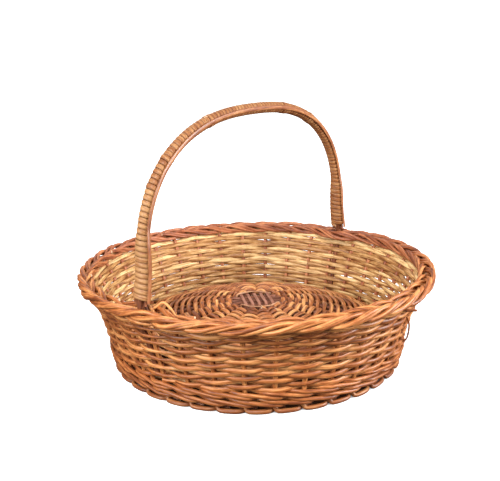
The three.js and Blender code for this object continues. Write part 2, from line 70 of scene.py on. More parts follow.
@dataclass(frozen=True)
class BasketSizes:
    """Sizes that several sub-assemblies share."""

    rim_radius: float = 181 * MM
    rim_height: float = 97 * MM
    foot_radius: float = 150 * MM
    handle_height: float = 258 * MM
    seat_gap: float = 0.3 * MM
    stake_count: int = 36
    stake_diameter: float = 4.6 * MM
    foot_rod_diameter: float = 5 * MM
    border_rod_diameter: float = 6 * MM
    neck_diameter: float = 6 * MM
    plait_spacings: int = 3
    plait_slack_share: float = 1.14
    plait_flat_share: float = 1.65
    leg_share: float = 0.75
    leg_spread_share: float = 1.5
    leg_inset: float = 5 * MM
    straight_flare_share: float = 0.74
    lip_power: float = 6.0
    foot_room_share: float = 1.3
    wall_bottom_share: float = 0.09
    wall_top_share: float = 1.04
    wall_steps: int = 32

    @property
    def spacing(self) -> float:
        """Angle from one stake to the next."""
        return FULL_TURN / self.stake_count

    @property
    def first_angle(self) -> float:
        """Angle of the first stake."""
        return (1 - self.leg_share) * self.spacing

    @property
    def plait_high(self) -> float:
        """How far a rod of the solid border swings up and down."""
        room = (self.border_rod_diameter + self.seat_gap) * self.plait_slack_share
        return room / math.sqrt(self.plait_spacings)

    @property
    def plait_wide(self) -> float:
        """How far a rod of the solid border swings outwards and inwards."""
        return self.plait_high * self.plait_flat_share

    @property
    def border_radius(self) -> float:
        """Radius of the solid border's middle line."""
        return self.rim_radius - self.plait_wide - self.border_rod_diameter / 2

    @property
    def leg_radius(self) -> float:
        """Radius at which the handle's legs go through the border."""
        return self.border_radius - self.leg_inset

    @property
    def border_height(self) -> float:
        """Height of the solid border's middle line."""
        return self.rim_height - self.plait_high - self.border_rod_diameter / 2

    @property
    def wall_top(self) -> float:
        """Height at which the wall meets the border."""
        return self.border_height - self.plait_high

    @property
    def foot_step(self) -> float:
        """Distance between two foot rods that lie side by side."""
        return self.foot_rod_diameter + self.seat_gap

    @property
    def foot_outer_radius(self) -> float:
        """Radius of the foot rods' outer line."""
        return self.foot_radius - self.foot_rod_diameter / 2

    @property
    def foot_inner_radius(self) -> float:
        """Radius of the foot rods' inner line."""
        return self.foot_outer_radius - self.foot_step * self.foot_room_share

    @property
    def wall_foot_radius(self) -> float:
        """Radius of the wall at the table."""
        return self.foot_outer_radius - self.foot_step

    def stake_angle(self, index: Any) -> Any:
        """Angle of a stake about the basket's axis, from its number."""
        return self.first_angle + index * self.spacing


SIZES = BasketSizes()


def polar(radius: Any, angle: Any, height: Any) -> np.ndarray:
    """Points from distances to the axis, angles about it and heights above the table."""
    radius, angle, height = np.broadcast_arrays(radius, angle, height)
    return np.stack([radius * np.cos(angle), radius * np.sin(angle), height], axis=-1)


def lerp(start: Any, end: Any, share: Any) -> Any:
    """The value at a share of the way from one value to another."""
    return start + (end - start) * share


def ease(share: Any) -> Any:
    """Smooth step from zero to one."""
    return 0.5 - 0.5 * np.cos(math.pi * np.clip(share, 0, 1))


def turned_from(angle: Any, other: float) -> Any:
    """Angle between two directions, without its sign."""
    return np.abs(np.arctan2(np.sin(angle - other), np.cos(angle - other)))


def smooth_line(points: np.ndarray, steps: int = 8) -> np.ndarray:
    """A centripetal Catmull-Rom curve through rows of values, of which the first three are the place.

    Args:
        points: The rows to pass through.
        steps: Rows made for each stretch.

    Returns:
        The rows of the curve.
    """
    points = np.asarray(points, float)
    padded = np.vstack([2 * points[0] - points[1], points, 2 * points[-1] - points[-2]])
    knots = np.sqrt(np.linalg.norm(np.diff(padded[:, :3], axis=0), axis=1))
    shares = np.linspace(0, 1, steps, endpoint=False)[:, None]
    rows = []
    for i in range(len(points) - 1):
        before, start, end, after = padded[i : i + 4]
        run_in, run, run_out = knots[i : i + 3]
        slope_in = ((start - before) / run_in - (end - before) / (run_in + run) + (end - start) / run) * run
        slope_out = ((end - start) / run - (after - start) / (run + run_out) + (after - end) / run_out) * run
        cubic = 2 * start - 2 * end + slope_in + slope_out
        square = -3 * start + 3 * end - 2 * slope_in - slope_out
        rows.append(cubic * shares**3 + square * shares**2 + slope_in * shares + start)
    return np.vstack([*rows, points[-1:]])


class ProfileLine:
    """A line in the plane of radius and height that can be read at any distance along it."""

    def __init__(self, points: np.ndarray) -> None:
        """Measures the line.

        Args:
            points: Rows of radius and height.
        """
        self.points = points
        self.runs = np.concatenate([[0], np.cumsum(np.hypot(*np.diff(points, axis=0).T))])
        self.slopes = np.gradient(points, self.runs, axis=0)

    def off(self, run: Any, out: Any, angle: Any) -> tuple[np.ndarray, np.ndarray]:
        """Points beside the line.

        Args:
            run: Distance along the line.
            out: Distance from the line, outwards.
            angle: Angle about the axis.

        Returns:
            The points and the outward directions there.
        """
        radius, height, radial, rise = (
            np.interp(run, self.runs, column) for column in (*self.points.T, *self.slopes.T)
        )
        length = np.hypot(radial, rise)
        normal = polar(rise / length, angle, -radial / length)
        return polar(radius, angle, height) + normal * np.asarray(out)[..., None], normal

    def run_at(self, height: Any) -> Any:
        """Distance along the line at a height."""
        return np.interp(height, self.points[:, 1], self.runs)


def wall_flare(height: Any) -> Any:
    """Radius of the wall's middle surface.

    Args:
        height: Height above the table.

    Returns:
        The radius.
    """
    share = height / SIZES.wall_top
    straight = SIZES.straight_flare_share
    grown = straight * share + (1 - straight) * share**SIZES.lip_power
    return lerp(SIZES.wall_foot_radius, SIZES.border_radius, grown)


WALL_SHARES = np.linspace(SIZES.wall_bottom_share, SIZES.wall_top_share, SIZES.wall_steps + 1)
WALL_HEIGHTS = SIZES.wall_top * WALL_SHARES
WALL = ProfileLine(np.stack([wall_flare(WALL_HEIGHTS), WALL_HEIGHTS], axis=1))


@dataclass
class Strand:
    """One rod or strip: a row of points with its own thickness, flatness and tone."""

    points: np.ndarray
    half: Any
    flat: float = 1.0
    up: Any = UPWARDS
    tone: float = 0.5

    def __post_init__(self) -> None:
        """Gives every point a thickness and a direction."""
        self.half = np.broadcast_to(self.half, len(self.points))
        self.up = np.broadcast_to(self.up, self.points.shape)

    def along(self) -> np.ndarray:
        """Distance of each point from the strand's start."""
        return np.concatenate([[0], np.cumsum(np.linalg.norm(np.diff(self.points, axis=0), axis=1))])


def tapered(count: int, half: float, ends: Range) -> np.ndarray:
    """Half thickness at each point of a rod that thins evenly from one share of it to another."""
    return np.linspace(ends[0] * half, ends[1] * half, count)


# Node trees


class NodeWriter:
    """Adds nodes to a tree and links them in one call each."""

    def __init__(self, tree: bpy.types.NodeTree) -> None:
        """Keeps the tree to write in."""
        self.tree = tree

    def socket(self, name: str, kind: str, value: Any = None, out: bool = False) -> None:
        """Adds a socket to the tree's interface.

        Args:
            name: The socket's name.
            kind: The socket's type, without its NodeSocket.
            value: The default, if any.
            out: True for an output.
        """
        way = "OUTPUT" if out else "INPUT"
        made = self.tree.interface.new_socket(name=name, in_out=way, socket_type=f"NodeSocket{kind}")
        if value is not None:
            made.default_value = value

    def add(self, kind: str, settings: dict[str, Any] | None = None, **inputs: Any) -> bpy.types.Node:
        """Adds a node.

        Args:
            kind: The node's type name.
            settings: Properties to set before its sockets are used.
            **inputs: Values or sockets by input name, with underscores for spaces, or by number as in_0.

        Returns:
            The new node.
        """
        node = self.tree.nodes.new(kind)
        for name, value in (settings or {}).items():
            setattr(node, name, value)
        self.feed(node, **inputs)
        return node

    def feed(self, node: bpy.types.Node, **inputs: Any) -> None:
        """Sets or links a node's inputs.

        Args:
            node: The node.
            **inputs: As for a new node.
        """
        for name, value in inputs.items():
            if name.startswith("in_"):
                socket = node.inputs[int(name[3:])]
            else:
                socket = next(s for s in node.inputs if s.name.replace(" ", "_") == name and s.enabled)
            if isinstance(value, bpy.types.NodeSocket):
                self.tree.links.new(value, socket)
            else:
                socket.default_value = value

    def geometry(
        self, kind: str, settings: dict[str, Any] | None = None, **inputs: Any
    ) -> bpy.types.NodeSocket:
        """Adds a geometry node and gives its first output."""
        return self.add(kind, settings, **inputs).outputs[0]

    def math(self, operation: str, *values: Any) -> bpy.types.NodeSocket:
        """Adds a Math node and gives its result."""
        inputs = {f"in_{i}": value for i, value in enumerate(values)}
        return self.add("ShaderNodeMath", {"operation": operation}, **inputs).outputs[0]

    def vector(self, operation: str, first: Any, second: Any = None) -> bpy.types.NodeSocket:
        """Adds a Vector Math node.

        Args:
            operation: The operation's name.
            first: The first vector.
            second: The second vector, or the scale.

        Returns:
            The vector, or the number where the operation gives one.
        """
        node = self.add("ShaderNodeVectorMath", {"operation": operation}, in_0=first)
        if second is not None:
            self.feed(node, **{"Scale" if operation == "SCALE" else "in_1": second})
        return node.outputs["Value" if operation in ("DOT_PRODUCT", "LENGTH") else "Vector"]

    def combine(self, x: Any, y: Any, z: Any) -> bpy.types.NodeSocket:
        """Makes a vector of three numbers."""
        return self.add("ShaderNodeCombineXYZ", X=x, Y=y, Z=z).outputs[0]

    def mix(self, share: Any, start: Any, end: Any) -> bpy.types.NodeSocket:
        """Blends two colours."""
        return self.add("ShaderNodeMix", {"data_type": "RGBA"}, in_0=share, in_6=start, in_7=end).outputs[2]

    def spread(
        self, value: Any, low: Any, high: Any, kind: str = "SMOOTHSTEP", to: Range = (0.0, 1.0)
    ) -> bpy.types.NodeSocket:
        """Spreads a range of values.

        Args:
            value: The value.
            low: Where the range starts.
            high: Where it ends.
            kind: How it is spread.
            to: The range that it is spread to.

        Returns:
            The new value.
        """
        ends = {"From_Min": low, "From_Max": high, "To_Min": to[0], "To_Max": to[1]}
        return self.add("ShaderNodeMapRange", {"interpolation_type": kind}, Value=value, **ends).outputs[0]


class RodTree:
    """The geometry nodes that turn strands of points into irregular rods."""

    NUMBERS: dict[str, tuple[str, float]] = {
        "Step": ("Float", 2.0 * MM),
        "Sides": ("Int", 14),
        "Wobble": ("Float", 0.25 * MM),
        "Wobble Length": ("Float", 30 * MM),
        "Thickness Share": ("Float", 0.06),
        "Seed": ("Int", 1),
    }
    NOISE_DETAIL = 2.0
    NOISE_MIDDLE = 0.5
    NOISE_GAIN = 4.0  # noise strays from its middle by about a quarter
    FULL_SIZE = 1.0
    SIDE_CORNERS = 4  # a face with more corners is a cut end
    NOISE_STEP = 7.31
    TONE_STEP = 53

    def __init__(self) -> None:
        """Writes the tree."""
        self.tree = bpy.data.node_groups.new("rods_along_strands", "GeometryNodeTree")
        write = NodeWriter(self.tree)
        write.socket("Geometry", "Geometry")
        for name, (kind, value) in self.NUMBERS.items():
            write.socket(name, kind, value)
        write.socket("Skin", "Material")
        write.socket("Cut", "Material")
        write.socket("Geometry", "Geometry", out=True)
        given = write.add("NodeGroupInput").outputs
        stored = {
            name: write.add("GeometryNodeInputNamedAttribute", {"data_type": kind}, Name=name).outputs[0]
            for name, kind in (("along", "FLOAT"), ("rod", "FLOAT"), ("half", "FLOAT"), ("flat", "FLOAT"),
                               ("up", "FLOAT_VECTOR"))
        }
        self._write_rods(write, given, stored)

    def _write_rods(self, write: NodeWriter, given: Any, stored: dict[str, bpy.types.NodeSocket]) -> None:
        """Adds the nodes that bend the strands, put a rod round each and dress it.

        Args:
            write: The tree's writer.
            given: The tree's inputs.
            stored: The strands' attributes.
        """
        curve = write.geometry("GeometryNodeMeshToCurve", Mesh=given["Geometry"])
        settings = {"mode": "LENGTH"}
        curve = write.geometry("GeometryNodeResampleCurve", settings, Curve=curve, Length=given["Step"])
        place = write.math("DIVIDE", stored["along"], given["Wobble Length"])
        place = write.combine(place, stored["rod"], given["Seed"])
        noise = write.add("ShaderNodeTexNoise", Vector=place, Scale=self.FULL_SIZE, Detail=self.NOISE_DETAIL)
        swing = write.vector("SUBTRACT", noise.outputs["Color"], (self.NOISE_MIDDLE,) * 3)
        swing = write.vector("SCALE", swing, write.math("MULTIPLY", given["Wobble"], self.NOISE_GAIN))
        curve = write.geometry("GeometryNodeSetPosition", Geometry=curve, Offset=swing)
        swell = write.math("SUBTRACT", noise.outputs["Fac"], self.NOISE_MIDDLE)
        gain = write.math("MULTIPLY", given["Thickness Share"], self.NOISE_GAIN)
        swell = write.math("MULTIPLY_ADD", swell, gain, self.FULL_SIZE)
        thick = write.math("MULTIPLY", stored["half"], swell)
        captured = write.add("GeometryNodeCaptureAttribute")
        captured.capture_items.new("VECTOR", "Middle")
        captured.capture_items.new("FLOAT", "Thick")
        middle = write.add("GeometryNodeInputPosition").outputs[0]
        write.feed(captured, Geometry=curve, in_1=middle, in_2=thick)
        thick = captured.outputs["Thick"]
        profile = write.add("GeometryNodeCaptureAttribute")
        profile.capture_items.new("FLOAT", "Around")
        circle = write.geometry(
            "GeometryNodeCurvePrimitiveCircle", Resolution=given["Sides"], Radius=self.FULL_SIZE
        )
        write.feed(profile, Geometry=circle, in_1=write.add("GeometryNodeSplineParameter").outputs["Factor"])
        mesh = write.geometry(
            "GeometryNodeCurveToMesh",
            Curve=captured.outputs["Geometry"],
            Profile_Curve=profile.outputs["Geometry"],
            Scale=thick,
            Fill_Caps=True,
        )
        position = write.add("GeometryNodeInputPosition").outputs[0]
        spoke = write.vector("SUBTRACT", position, captured.outputs["Middle"])
        lift = write.vector("DOT_PRODUCT", spoke, stored["up"])
        crest = write.math("DIVIDE", write.math("ABSOLUTE", lift), thick)
        squash = write.math("SUBTRACT", stored["flat"], self.FULL_SIZE)
        offset = write.vector("SCALE", stored["up"], write.math("MULTIPLY", lift, squash))
        mesh = write.geometry("GeometryNodeSetPosition", Geometry=mesh, Offset=offset)
        around = write.math("MULTIPLY", profile.outputs["Around"], FULL_TURN)
        round_x, round_y = (
            write.math("MULTIPLY", write.math(wave, around), thick) for wave in ("COSINE", "SINE")
        )
        grain = write.combine(stored["along"], round_x, round_y)
        for name, kind, value in (("grain", "FLOAT_VECTOR", grain), ("crest", "FLOAT", crest)):
            settings = {"data_type": kind, "domain": "POINT"}
            mesh = write.geometry(
                "GeometryNodeStoreNamedAttribute", settings, Geometry=mesh, Name=name, Value=value
            )
        corners = write.add("GeometryNodeInputMeshFaceNeighbors").outputs["Vertex Count"]
        settings = {"data_type": "INT", "operation": "GREATER_THAN"}
        cap = write.geometry("FunctionNodeCompare", settings, in_2=corners, in_3=self.SIDE_CORNERS)
        side = write.math("SUBTRACT", self.FULL_SIZE, cap)
        mesh = write.geometry("GeometryNodeSetShadeSmooth", Geometry=mesh, Shade_Smooth=side)
        mesh = write.geometry("GeometryNodeRealizeInstances", Geometry=mesh)
        mesh = write.geometry("GeometryNodeSetMaterial", Geometry=mesh, Material=given["Skin"])
        mesh = write.geometry("GeometryNodeSetMaterial", Geometry=mesh, Selection=cap, Material=given["Cut"])
        write.add("NodeGroupOutput", Geometry=mesh)

    def make(self, name: str, strands: Sequence[Strand], **values: Any) -> bpy.types.Object:
        """Makes one plain mesh piece.

        Args:
            name: The piece's name.
            strands: Its rods.
            **values: Values for the tree's inputs, with underscores for spaces.

        Returns:
            The piece, at the origin.
        """
        guide = self._guide(f"{name}_guide", strands)
        modifier = guide.modifiers.new("rods", "NODES")
        modifier.node_group = self.tree
        settings = {key: number for key, (_, number) in self.NUMBERS.items()}
        settings |= {key.replace("_", " "): value for key, value in values.items()}
        for item in self.tree.interface.items_tree:
            if item.in_out == "INPUT" and item.name in settings:
                modifier[item.identifier] = settings[item.name]
        graph = bpy.context.evaluated_depsgraph_get()
        mesh = bpy.data.meshes.new_from_object(
            guide.evaluated_get(graph), preserve_all_data_layers=True, depsgraph=graph
        )
        mesh.name = name
        guide.modifiers.remove(modifier)
        bpy.data.objects.remove(guide)
        return link_object(name, mesh)

    def _guide(self, name: str, strands: Sequence[Strand]) -> bpy.types.Object:
        """Makes the line object that carries the strands' points and values.

        Args:
            name: The object's name.
            strands: The rods.

        Returns:
            The object.
        """
        counts = [len(strand.points) for strand in strands]
        starts = np.cumsum([0, *counts[:-1]]).tolist()
        edges = [(start + i, start + i + 1) for start, count in zip(starts, counts) for i in range(count - 1)]
        mesh = bpy.data.meshes.new(name)
        mesh.from_pydata(np.vstack([strand.points for strand in strands]).tolist(), edges, [])
        tones = np.array([strand.tone for strand in strands])
        rods = 1 + self.NOISE_STEP * np.arange(len(strands)) + self.TONE_STEP * tones
        columns = {
            "half": np.concatenate([strand.half for strand in strands]),
            "along": np.concatenate([strand.along() for strand in strands]),
            "flat": np.repeat([strand.flat for strand in strands], counts),
            "tone": np.repeat(tones, counts),
            "rod": np.repeat(rods, counts),
        }
        for key, column in columns.items():
            store_values(mesh, key, column)
        up = np.vstack([strand.up for strand in strands]).astype(np.float32)
        mesh.attributes.new("up", "FLOAT_VECTOR", "POINT").data.foreach_set("vector", up.ravel())
        return link_object(name, mesh)


def store_values(mesh: bpy.types.Mesh, name: str, values: np.ndarray) -> None:
    """Stores a number for each point of a mesh."""
    mesh.attributes.new(name, "FLOAT", "POINT").data.foreach_set("value", values.astype(np.float32))


def link_object(name: str, data: Any) -> bpy.types.Object:
    """Makes an object and puts it in the scene.

    Args:
        name: The object's name.
        data: Its mesh, light or camera.

    Returns:
        The object.
    """
    made = bpy.data.objects.new(name, data)
    bpy.context.scene.collection.objects.link(made)
    return made


# Finishes


@dataclass(frozen=True)
class Shade:
    """Three colours that a rod's skin runs through."""

    dark: Color
    middle: Color
    light: Color


@dataclass(frozen=True)
class RodFinish:
    """The look of a kind of rod: its skin outside and inside the basket, and its gloss. Where the two skins
    differ, they are lit and shaded copies of one rod's colour: painted light and shade.
    """

    name: str
    outside: Shade
    inside: Shade
    roughness: float = 0.34
    coat: float = 0.12
    coat_roughness: float = 0.28
    specular: float = 0.35
    bump: float = 0.35
    streak_length: float = 22 * MM
    # strength of the painted shade at a strip's edges, as in the grooves between rods
    edge_shade: float = 0.0


@dataclass(frozen=True)
class Mark:
    """One kind of mark on the skin: its size, how it moves from rod to rod and how strong it is."""

    length: float
    girth: float
    shift: float
    gain: float
    detail: float = 3.0


@dataclass(frozen=True)
class Tint:
    """A colour laid over the skin, between two values of what it follows: a scar mark or a painted shade."""

    low: float
    high: float
    color: Color
    share: float = 1.0


class RodSkin:
    """The shader group that colours a peeled rod from its own length and girth, with painted light and shade
    from its side, its strips' edges and its height.
    """

    STREAK = Mark(length=0.0, girth=1.3 * MM, shift=3.7, gain=2.2)  # its length is an input
    FIBRE = Mark(length=5 * MM, girth=0.28 * MM, shift=9.1, gain=1.1, detail=2.0)
    BLOTCH = Mark(length=9 * MM, girth=7 * MM, shift=5.3, gain=0.8)
    SCAR = Mark(length=3.2 * MM, girth=2.6 * MM, shift=1.9, gain=0.0, detail=1.0)
    SCAR_TINT = Tint(0.70, 0.78, (0.16, 0.055, 0.02), 0.55)
    # painted shade: each strip darkens towards its edges, as in the grooves between rods, as strong as the
    # finish's Edge Shade
    EDGE_SHADE_TINT = Tint(0.05, 0.6, (0.11, 0.03, 0.008))
    # painted shade: rods darken from 17 mm down towards the table, as in the basket's shadow on it
    TABLE_SHADE_TINT = Tint(low=-4 * MM, high=17 * MM, color=(0.11, 0.025, 0.008), share=0.75)
    MIDDLE = 0.5
    FIBRE_HEIGHT_SHARE = 0.5
    BUMP_DEPTH = 0.4 * MM
    GLOSS_LOSS_SHARE = 0.3

    def __init__(self) -> None:
        """Writes the group."""
        self.tree = bpy.data.node_groups.new("peeled_rod", "ShaderNodeTree")
        self.write = NodeWriter(self.tree)
        for where in ("Outside", "Inside"):
            for part in ("Dark", "Middle", "Light"):
                self.write.socket(f"{where} {part}", "Color")
        for name in ("Streak Length", "Bump", "Edge Shade"):
            self.write.socket(name, "Float")
        for name, kind in (("Color", "Color"), ("Gloss Loss", "Float"), ("Normal", "Vector")):
            self.write.socket(name, kind, out=True)
        self.given = self.write.add("NodeGroupInput").outputs
        self.grain = self.write.add("ShaderNodeSeparateXYZ", Vector=self._stored("grain", "Vector")).outputs
        self.rod = self._stored("rod")
        self._write_marks()

    def _stored(self, name: str, kind: str = "Fac") -> bpy.types.NodeSocket:
        """Reads an attribute that the rod tree stored."""
        settings = {"attribute_type": "GEOMETRY", "attribute_name": name}
        return self.write.add("ShaderNodeAttribute", settings).outputs[kind]

    def _noise(self, mark: Mark, length: Any = None) -> bpy.types.NodeSocket:
        """Noise that is drawn out along the rod.

        Args:
            mark: Its sizes.
            length: Its length, where that is an input.

        Returns:
            The noise.
        """
        write = self.write
        along = write.math("DIVIDE", self.grain[0], length or mark.length)
        along = write.math("ADD", along, write.math("MULTIPLY", self.rod, mark.shift))
        across = [write.math("MULTIPLY", self.grain[i], 1 / mark.girth) for i in (1, 2)]
        place = write.combine(along, *across)
        return write.add("ShaderNodeTexNoise", Vector=place, Scale=1.0, Detail=mark.detail).outputs["Fac"]

    def _ramp(self, where: str, level: bpy.types.NodeSocket) -> bpy.types.NodeSocket:
        """The skin's colour at a level from dark to light.

        Args:
            where: Outside or Inside.
            level: The level.

        Returns:
            The colour.
        """
        write = self.write
        dark, middle, light = (self.given[f"{where} {part}"] for part in ("Dark", "Middle", "Light"))
        low = write.mix(write.spread(level, 0.0, self.MIDDLE), dark, middle)
        return write.mix(write.spread(level, self.MIDDLE, 1.0), low, light)

    def _tinted(self, color: Any, tint: Tint, value: Any, share: Any = None, rising: bool = False) -> Any:
        """Lays a tint over a colour.

        Args:
            color: The colour.
            tint: The tint.
            value: What the tint follows.
            share: How strong it is, where that is an input.
            rising: True where high values have the tint.

        Returns:
            The new colour.
        """
        write = self.write
        cover = write.spread(value, tint.low, tint.high)
        if not rising:
            cover = write.math("SUBTRACT", 1.0, cover)
        return write.mix(write.math("MULTIPLY", cover, share or tint.share), color, (*tint.color, 1))

    def _write_marks(self) -> None:
        """Adds the nodes that mix the marks, the scar tint, the painted shade at strip edges and near the
        table, and the bump.
        """
        write, given = self.write, self.given
        streak = self._noise(self.STREAK, given["Streak Length"])
        fibre = self._noise(self.FIBRE)
        blotch = self._noise(self.BLOTCH)
        level = self._stored("tone")
        for noise, mark in ((streak, self.STREAK), (fibre, self.FIBRE), (blotch, self.BLOTCH)):
            level = write.math("MULTIPLY_ADD", write.math("SUBTRACT", noise, self.MIDDLE), mark.gain, level)
        color = write.mix(self._stored("side"), self._ramp("Inside", level), self._ramp("Outside", level))
        color = self._tinted(color, self.SCAR_TINT, self._noise(self.SCAR), rising=True)
        # painted shade in the grooves between strips
        color = self._tinted(color, self.EDGE_SHADE_TINT, self._stored("crest"), given["Edge Shade"])
        # painted shade: darker towards the table, from each point's height
        place = write.add("ShaderNodeTexCoord").outputs["Object"]
        rise = write.add("ShaderNodeSeparateXYZ", Vector=place).outputs[2]
        color = self._tinted(color, self.TABLE_SHADE_TINT, rise)
        height = write.math("MULTIPLY_ADD", fibre, self.FIBRE_HEIGHT_SHARE, streak)
        bump = write.add("ShaderNodeBump", Strength=given["Bump"], Distance=self.BUMP_DEPTH, Height=height)
        loss = write.math("MULTIPLY", blotch, self.GLOSS_LOSS_SHARE)
        write.add("NodeGroupOutput", Color=color, Gloss_Loss=loss, Normal=bump.outputs[0])


def new_material(name: str) -> tuple[bpy.types.Material, NodeWriter, bpy.types.Node]:
    """Makes a material.

    Args:
        name: Its name.

    Returns:
        The material, a writer for its tree and its shader.
    """
    material = bpy.data.materials.new(name)
    material.use_nodes = True
    return material, NodeWriter(material.node_tree), material.node_tree.nodes["Principled BSDF"]


class FinishShop:
    """Makes materials, each once."""

    CUT_DARK = (0.42, 0.25, 0.13, 1)
    CUT_LIGHT = (0.82, 0.62, 0.42, 1)
    CUT_ENDS = (0.3, 0.7)
    CUT_ROUGHNESS = 0.7
    CUT_NOISE = {"Scale": 900.0, "Detail": 3.0}

    def __init__(self) -> None:
        """Writes the shared group."""
        self.group = RodSkin().tree
        self.made: dict[str, bpy.types.Material] = {}

    def skin(self, finish: RodFinish) -> bpy.types.Material:
        """The material of a rod's skin.

        Args:
            finish: Its look.

        Returns:
            The material.
        """
        if finish.name in self.made:
            return self.made[finish.name]
        material, write, shader = new_material(finish.name)
        group = write.add("ShaderNodeGroup", {"node_tree": self.group})
        for where, shade in (("Outside", finish.outside), ("Inside", finish.inside)):
            for part in ("Dark", "Middle", "Light"):
                group.inputs[f"{where} {part}"].default_value = (*getattr(shade, part.lower()), 1)
        write.feed(group, Streak_Length=finish.streak_length, Bump=finish.bump, Edge_Shade=finish.edge_shade)
        rough = write.math("ADD", group.outputs["Gloss Loss"], finish.roughness)
        write.feed(shader, Base_Color=group.outputs["Color"], Roughness=rough, Normal=group.outputs["Normal"])
        write.feed(shader, Specular_IOR_Level=finish.specular)
        write.feed(shader, Coat_Weight=finish.coat, Coat_Roughness=finish.coat_roughness)
        self.made[finish.name] = material
        return material

    def cut_end(self) -> bpy.types.Material:
        """The pale wood that shows where a rod is cut.

        Returns:
            The material.
        """
        if "cut_end" in self.made:
            return self.made["cut_end"]
        material, write, shader = new_material("cut_end")
        place = write.add("ShaderNodeTexCoord").outputs["Object"]
        noise = write.add("ShaderNodeTexNoise", Vector=place, **self.CUT_NOISE).outputs["Fac"]
        color = write.mix(write.spread(noise, *self.CUT_ENDS, "LINEAR"), self.CUT_DARK, self.CUT_LIGHT)
        write.feed(shader, Base_Color=color, Roughness=self.CUT_ROUGHNESS)
        self.made["cut_end"] = material
        return material


HONEY = Shade((0.16, 0.038, 0.008), (0.38, 0.115, 0.027), (0.66, 0.29, 0.095))
# painted shade: a darker copy of the rods' colour for the stakes' inside faces and the border's back
SHADED_RED_BROWN = Shade((0.13, 0.030, 0.011), (0.31, 0.090, 0.033), (0.52, 0.20, 0.085))
# painted light: a paler copy of the rods' colour for the weavers' inside faces, which face the light
LIT_STRAW = Shade((0.22, 0.080, 0.022), (0.47, 0.245, 0.085), (0.80, 0.55, 0.26))
ORANGE = Shade((0.15, 0.036, 0.008), (0.41, 0.125, 0.032), (0.78, 0.37, 0.13))
PINK_BROWN = Shade((0.085, 0.020, 0.006), (0.24, 0.078, 0.038), (0.46, 0.20, 0.13))
PALE = Shade((0.30, 0.12, 0.055), (0.50, 0.25, 0.13), (0.70, 0.42, 0.25))
CORE = Shade((0.07, 0.018, 0.006), (0.15, 0.042, 0.014), (0.28, 0.095, 0.036))
CANE = Shade((0.19, 0.052, 0.014), (0.43, 0.165, 0.050), (0.72, 0.39, 0.155))

STAKE_FINISH = RodFinish("stake_rod", HONEY, SHADED_RED_BROWN)
WALE_FINISH = RodFinish("wale_rod", HONEY, LIT_STRAW, edge_shade=0.4)
SIDE_FINISH = RodFinish("side_weaver", HONEY, LIT_STRAW, edge_shade=0.55)
BASE_FINISH = RodFinish("base_weaver", ORANGE, ORANGE, edge_shade=0.5)
# painted shade: the sticks' dark colours and strong edge shade make the slots between the base weavers read
# as shadow
STICK_FINISH = RodFinish("base_stick", PINK_BROWN, PINK_BROWN, roughness=0.55, edge_shade=0.75)
TIE_FINISH = RodFinish("base_tie", PALE, PALE)
BOW_FINISH = RodFinish("handle_rod", CORE, CORE, roughness=0.6, coat=0.0)
CANE_FINISH = RodFinish(
    "handle_cane", CANE, CANE, roughness=0.4, coat=0.08, bump=0.15, streak_length=14 * MM, edge_shade=0.75
)
LEADER_FINISH = RodFinish("handle_leader", ORANGE, ORANGE, roughness=0.3, coat=0.3, edge_shade=0.6)


# Sub-assemblies


def paint_side_light(piece: bpy.types.Object, reach: float = 2.2 * MM) -> None:
    """Stores which painted lighting each point takes: one outside the wall, zero inside it.

    The border is alike inside and outside, but takes the outside's paler colour round its front and the
    inside's darker colour round its back: painted light and shade.

    Args:
        piece: The piece.
        reach: Distance from the wall's middle over which the value changes.
    """
    mesh = piece.data
    points = np.empty(len(mesh.vertices) * 3, np.float32)
    mesh.vertices.foreach_get("co", points)
    x, y, height = points.reshape(-1, 3).T
    beyond = np.hypot(x, y) - wall_flare(np.clip(height, 0, SIZES.border_height))
    side = ease(0.5 + beyond / (2 * reach))
    # painted light and shade: the border's colour follows how it faces the front
    facing = np.cos(np.arctan2(y, x) - FRONT_ANGLE)
    in_border = ease((height - SIZES.wall_top) / (2 * reach))
    store_values(mesh, "side", lerp(side, ease(0.5 + facing), in_border))


@dataclass
class Workshop:
    """What every sub-assembly makes its pieces with."""

    rods: RodTree
    finishes: FinishShop
    seed: int = 20
    pieces: list[bpy.types.Object] = field(default_factory=list)

    def random(self, part: int) -> np.random.Generator:
        """A fixed random source for a sub-assembly, from its number."""
        return np.random.default_rng(self.seed + part)

    def piece(
        self, name: str, node: str, strands: Sequence[Strand], finish: RodFinish, slot: str, **numbers: float
    ) -> None:
        """Makes a piece that stands for a CAD node.

        Args:
            name: The piece's name.
            node: The CAD node.
            strands: Its rods.
            finish: Their look.
            slot: The record's material slot; not used.
            **numbers: Values for the rod tree.
        """
        made = self.rods.make(
            name, strands, Skin=self.finishes.skin(finish), Cut=self.finishes.cut_end(), **numbers
        )
        paint_side_light(made)
        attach(made, BODY)
        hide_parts(node)
        self.pieces.append(made)


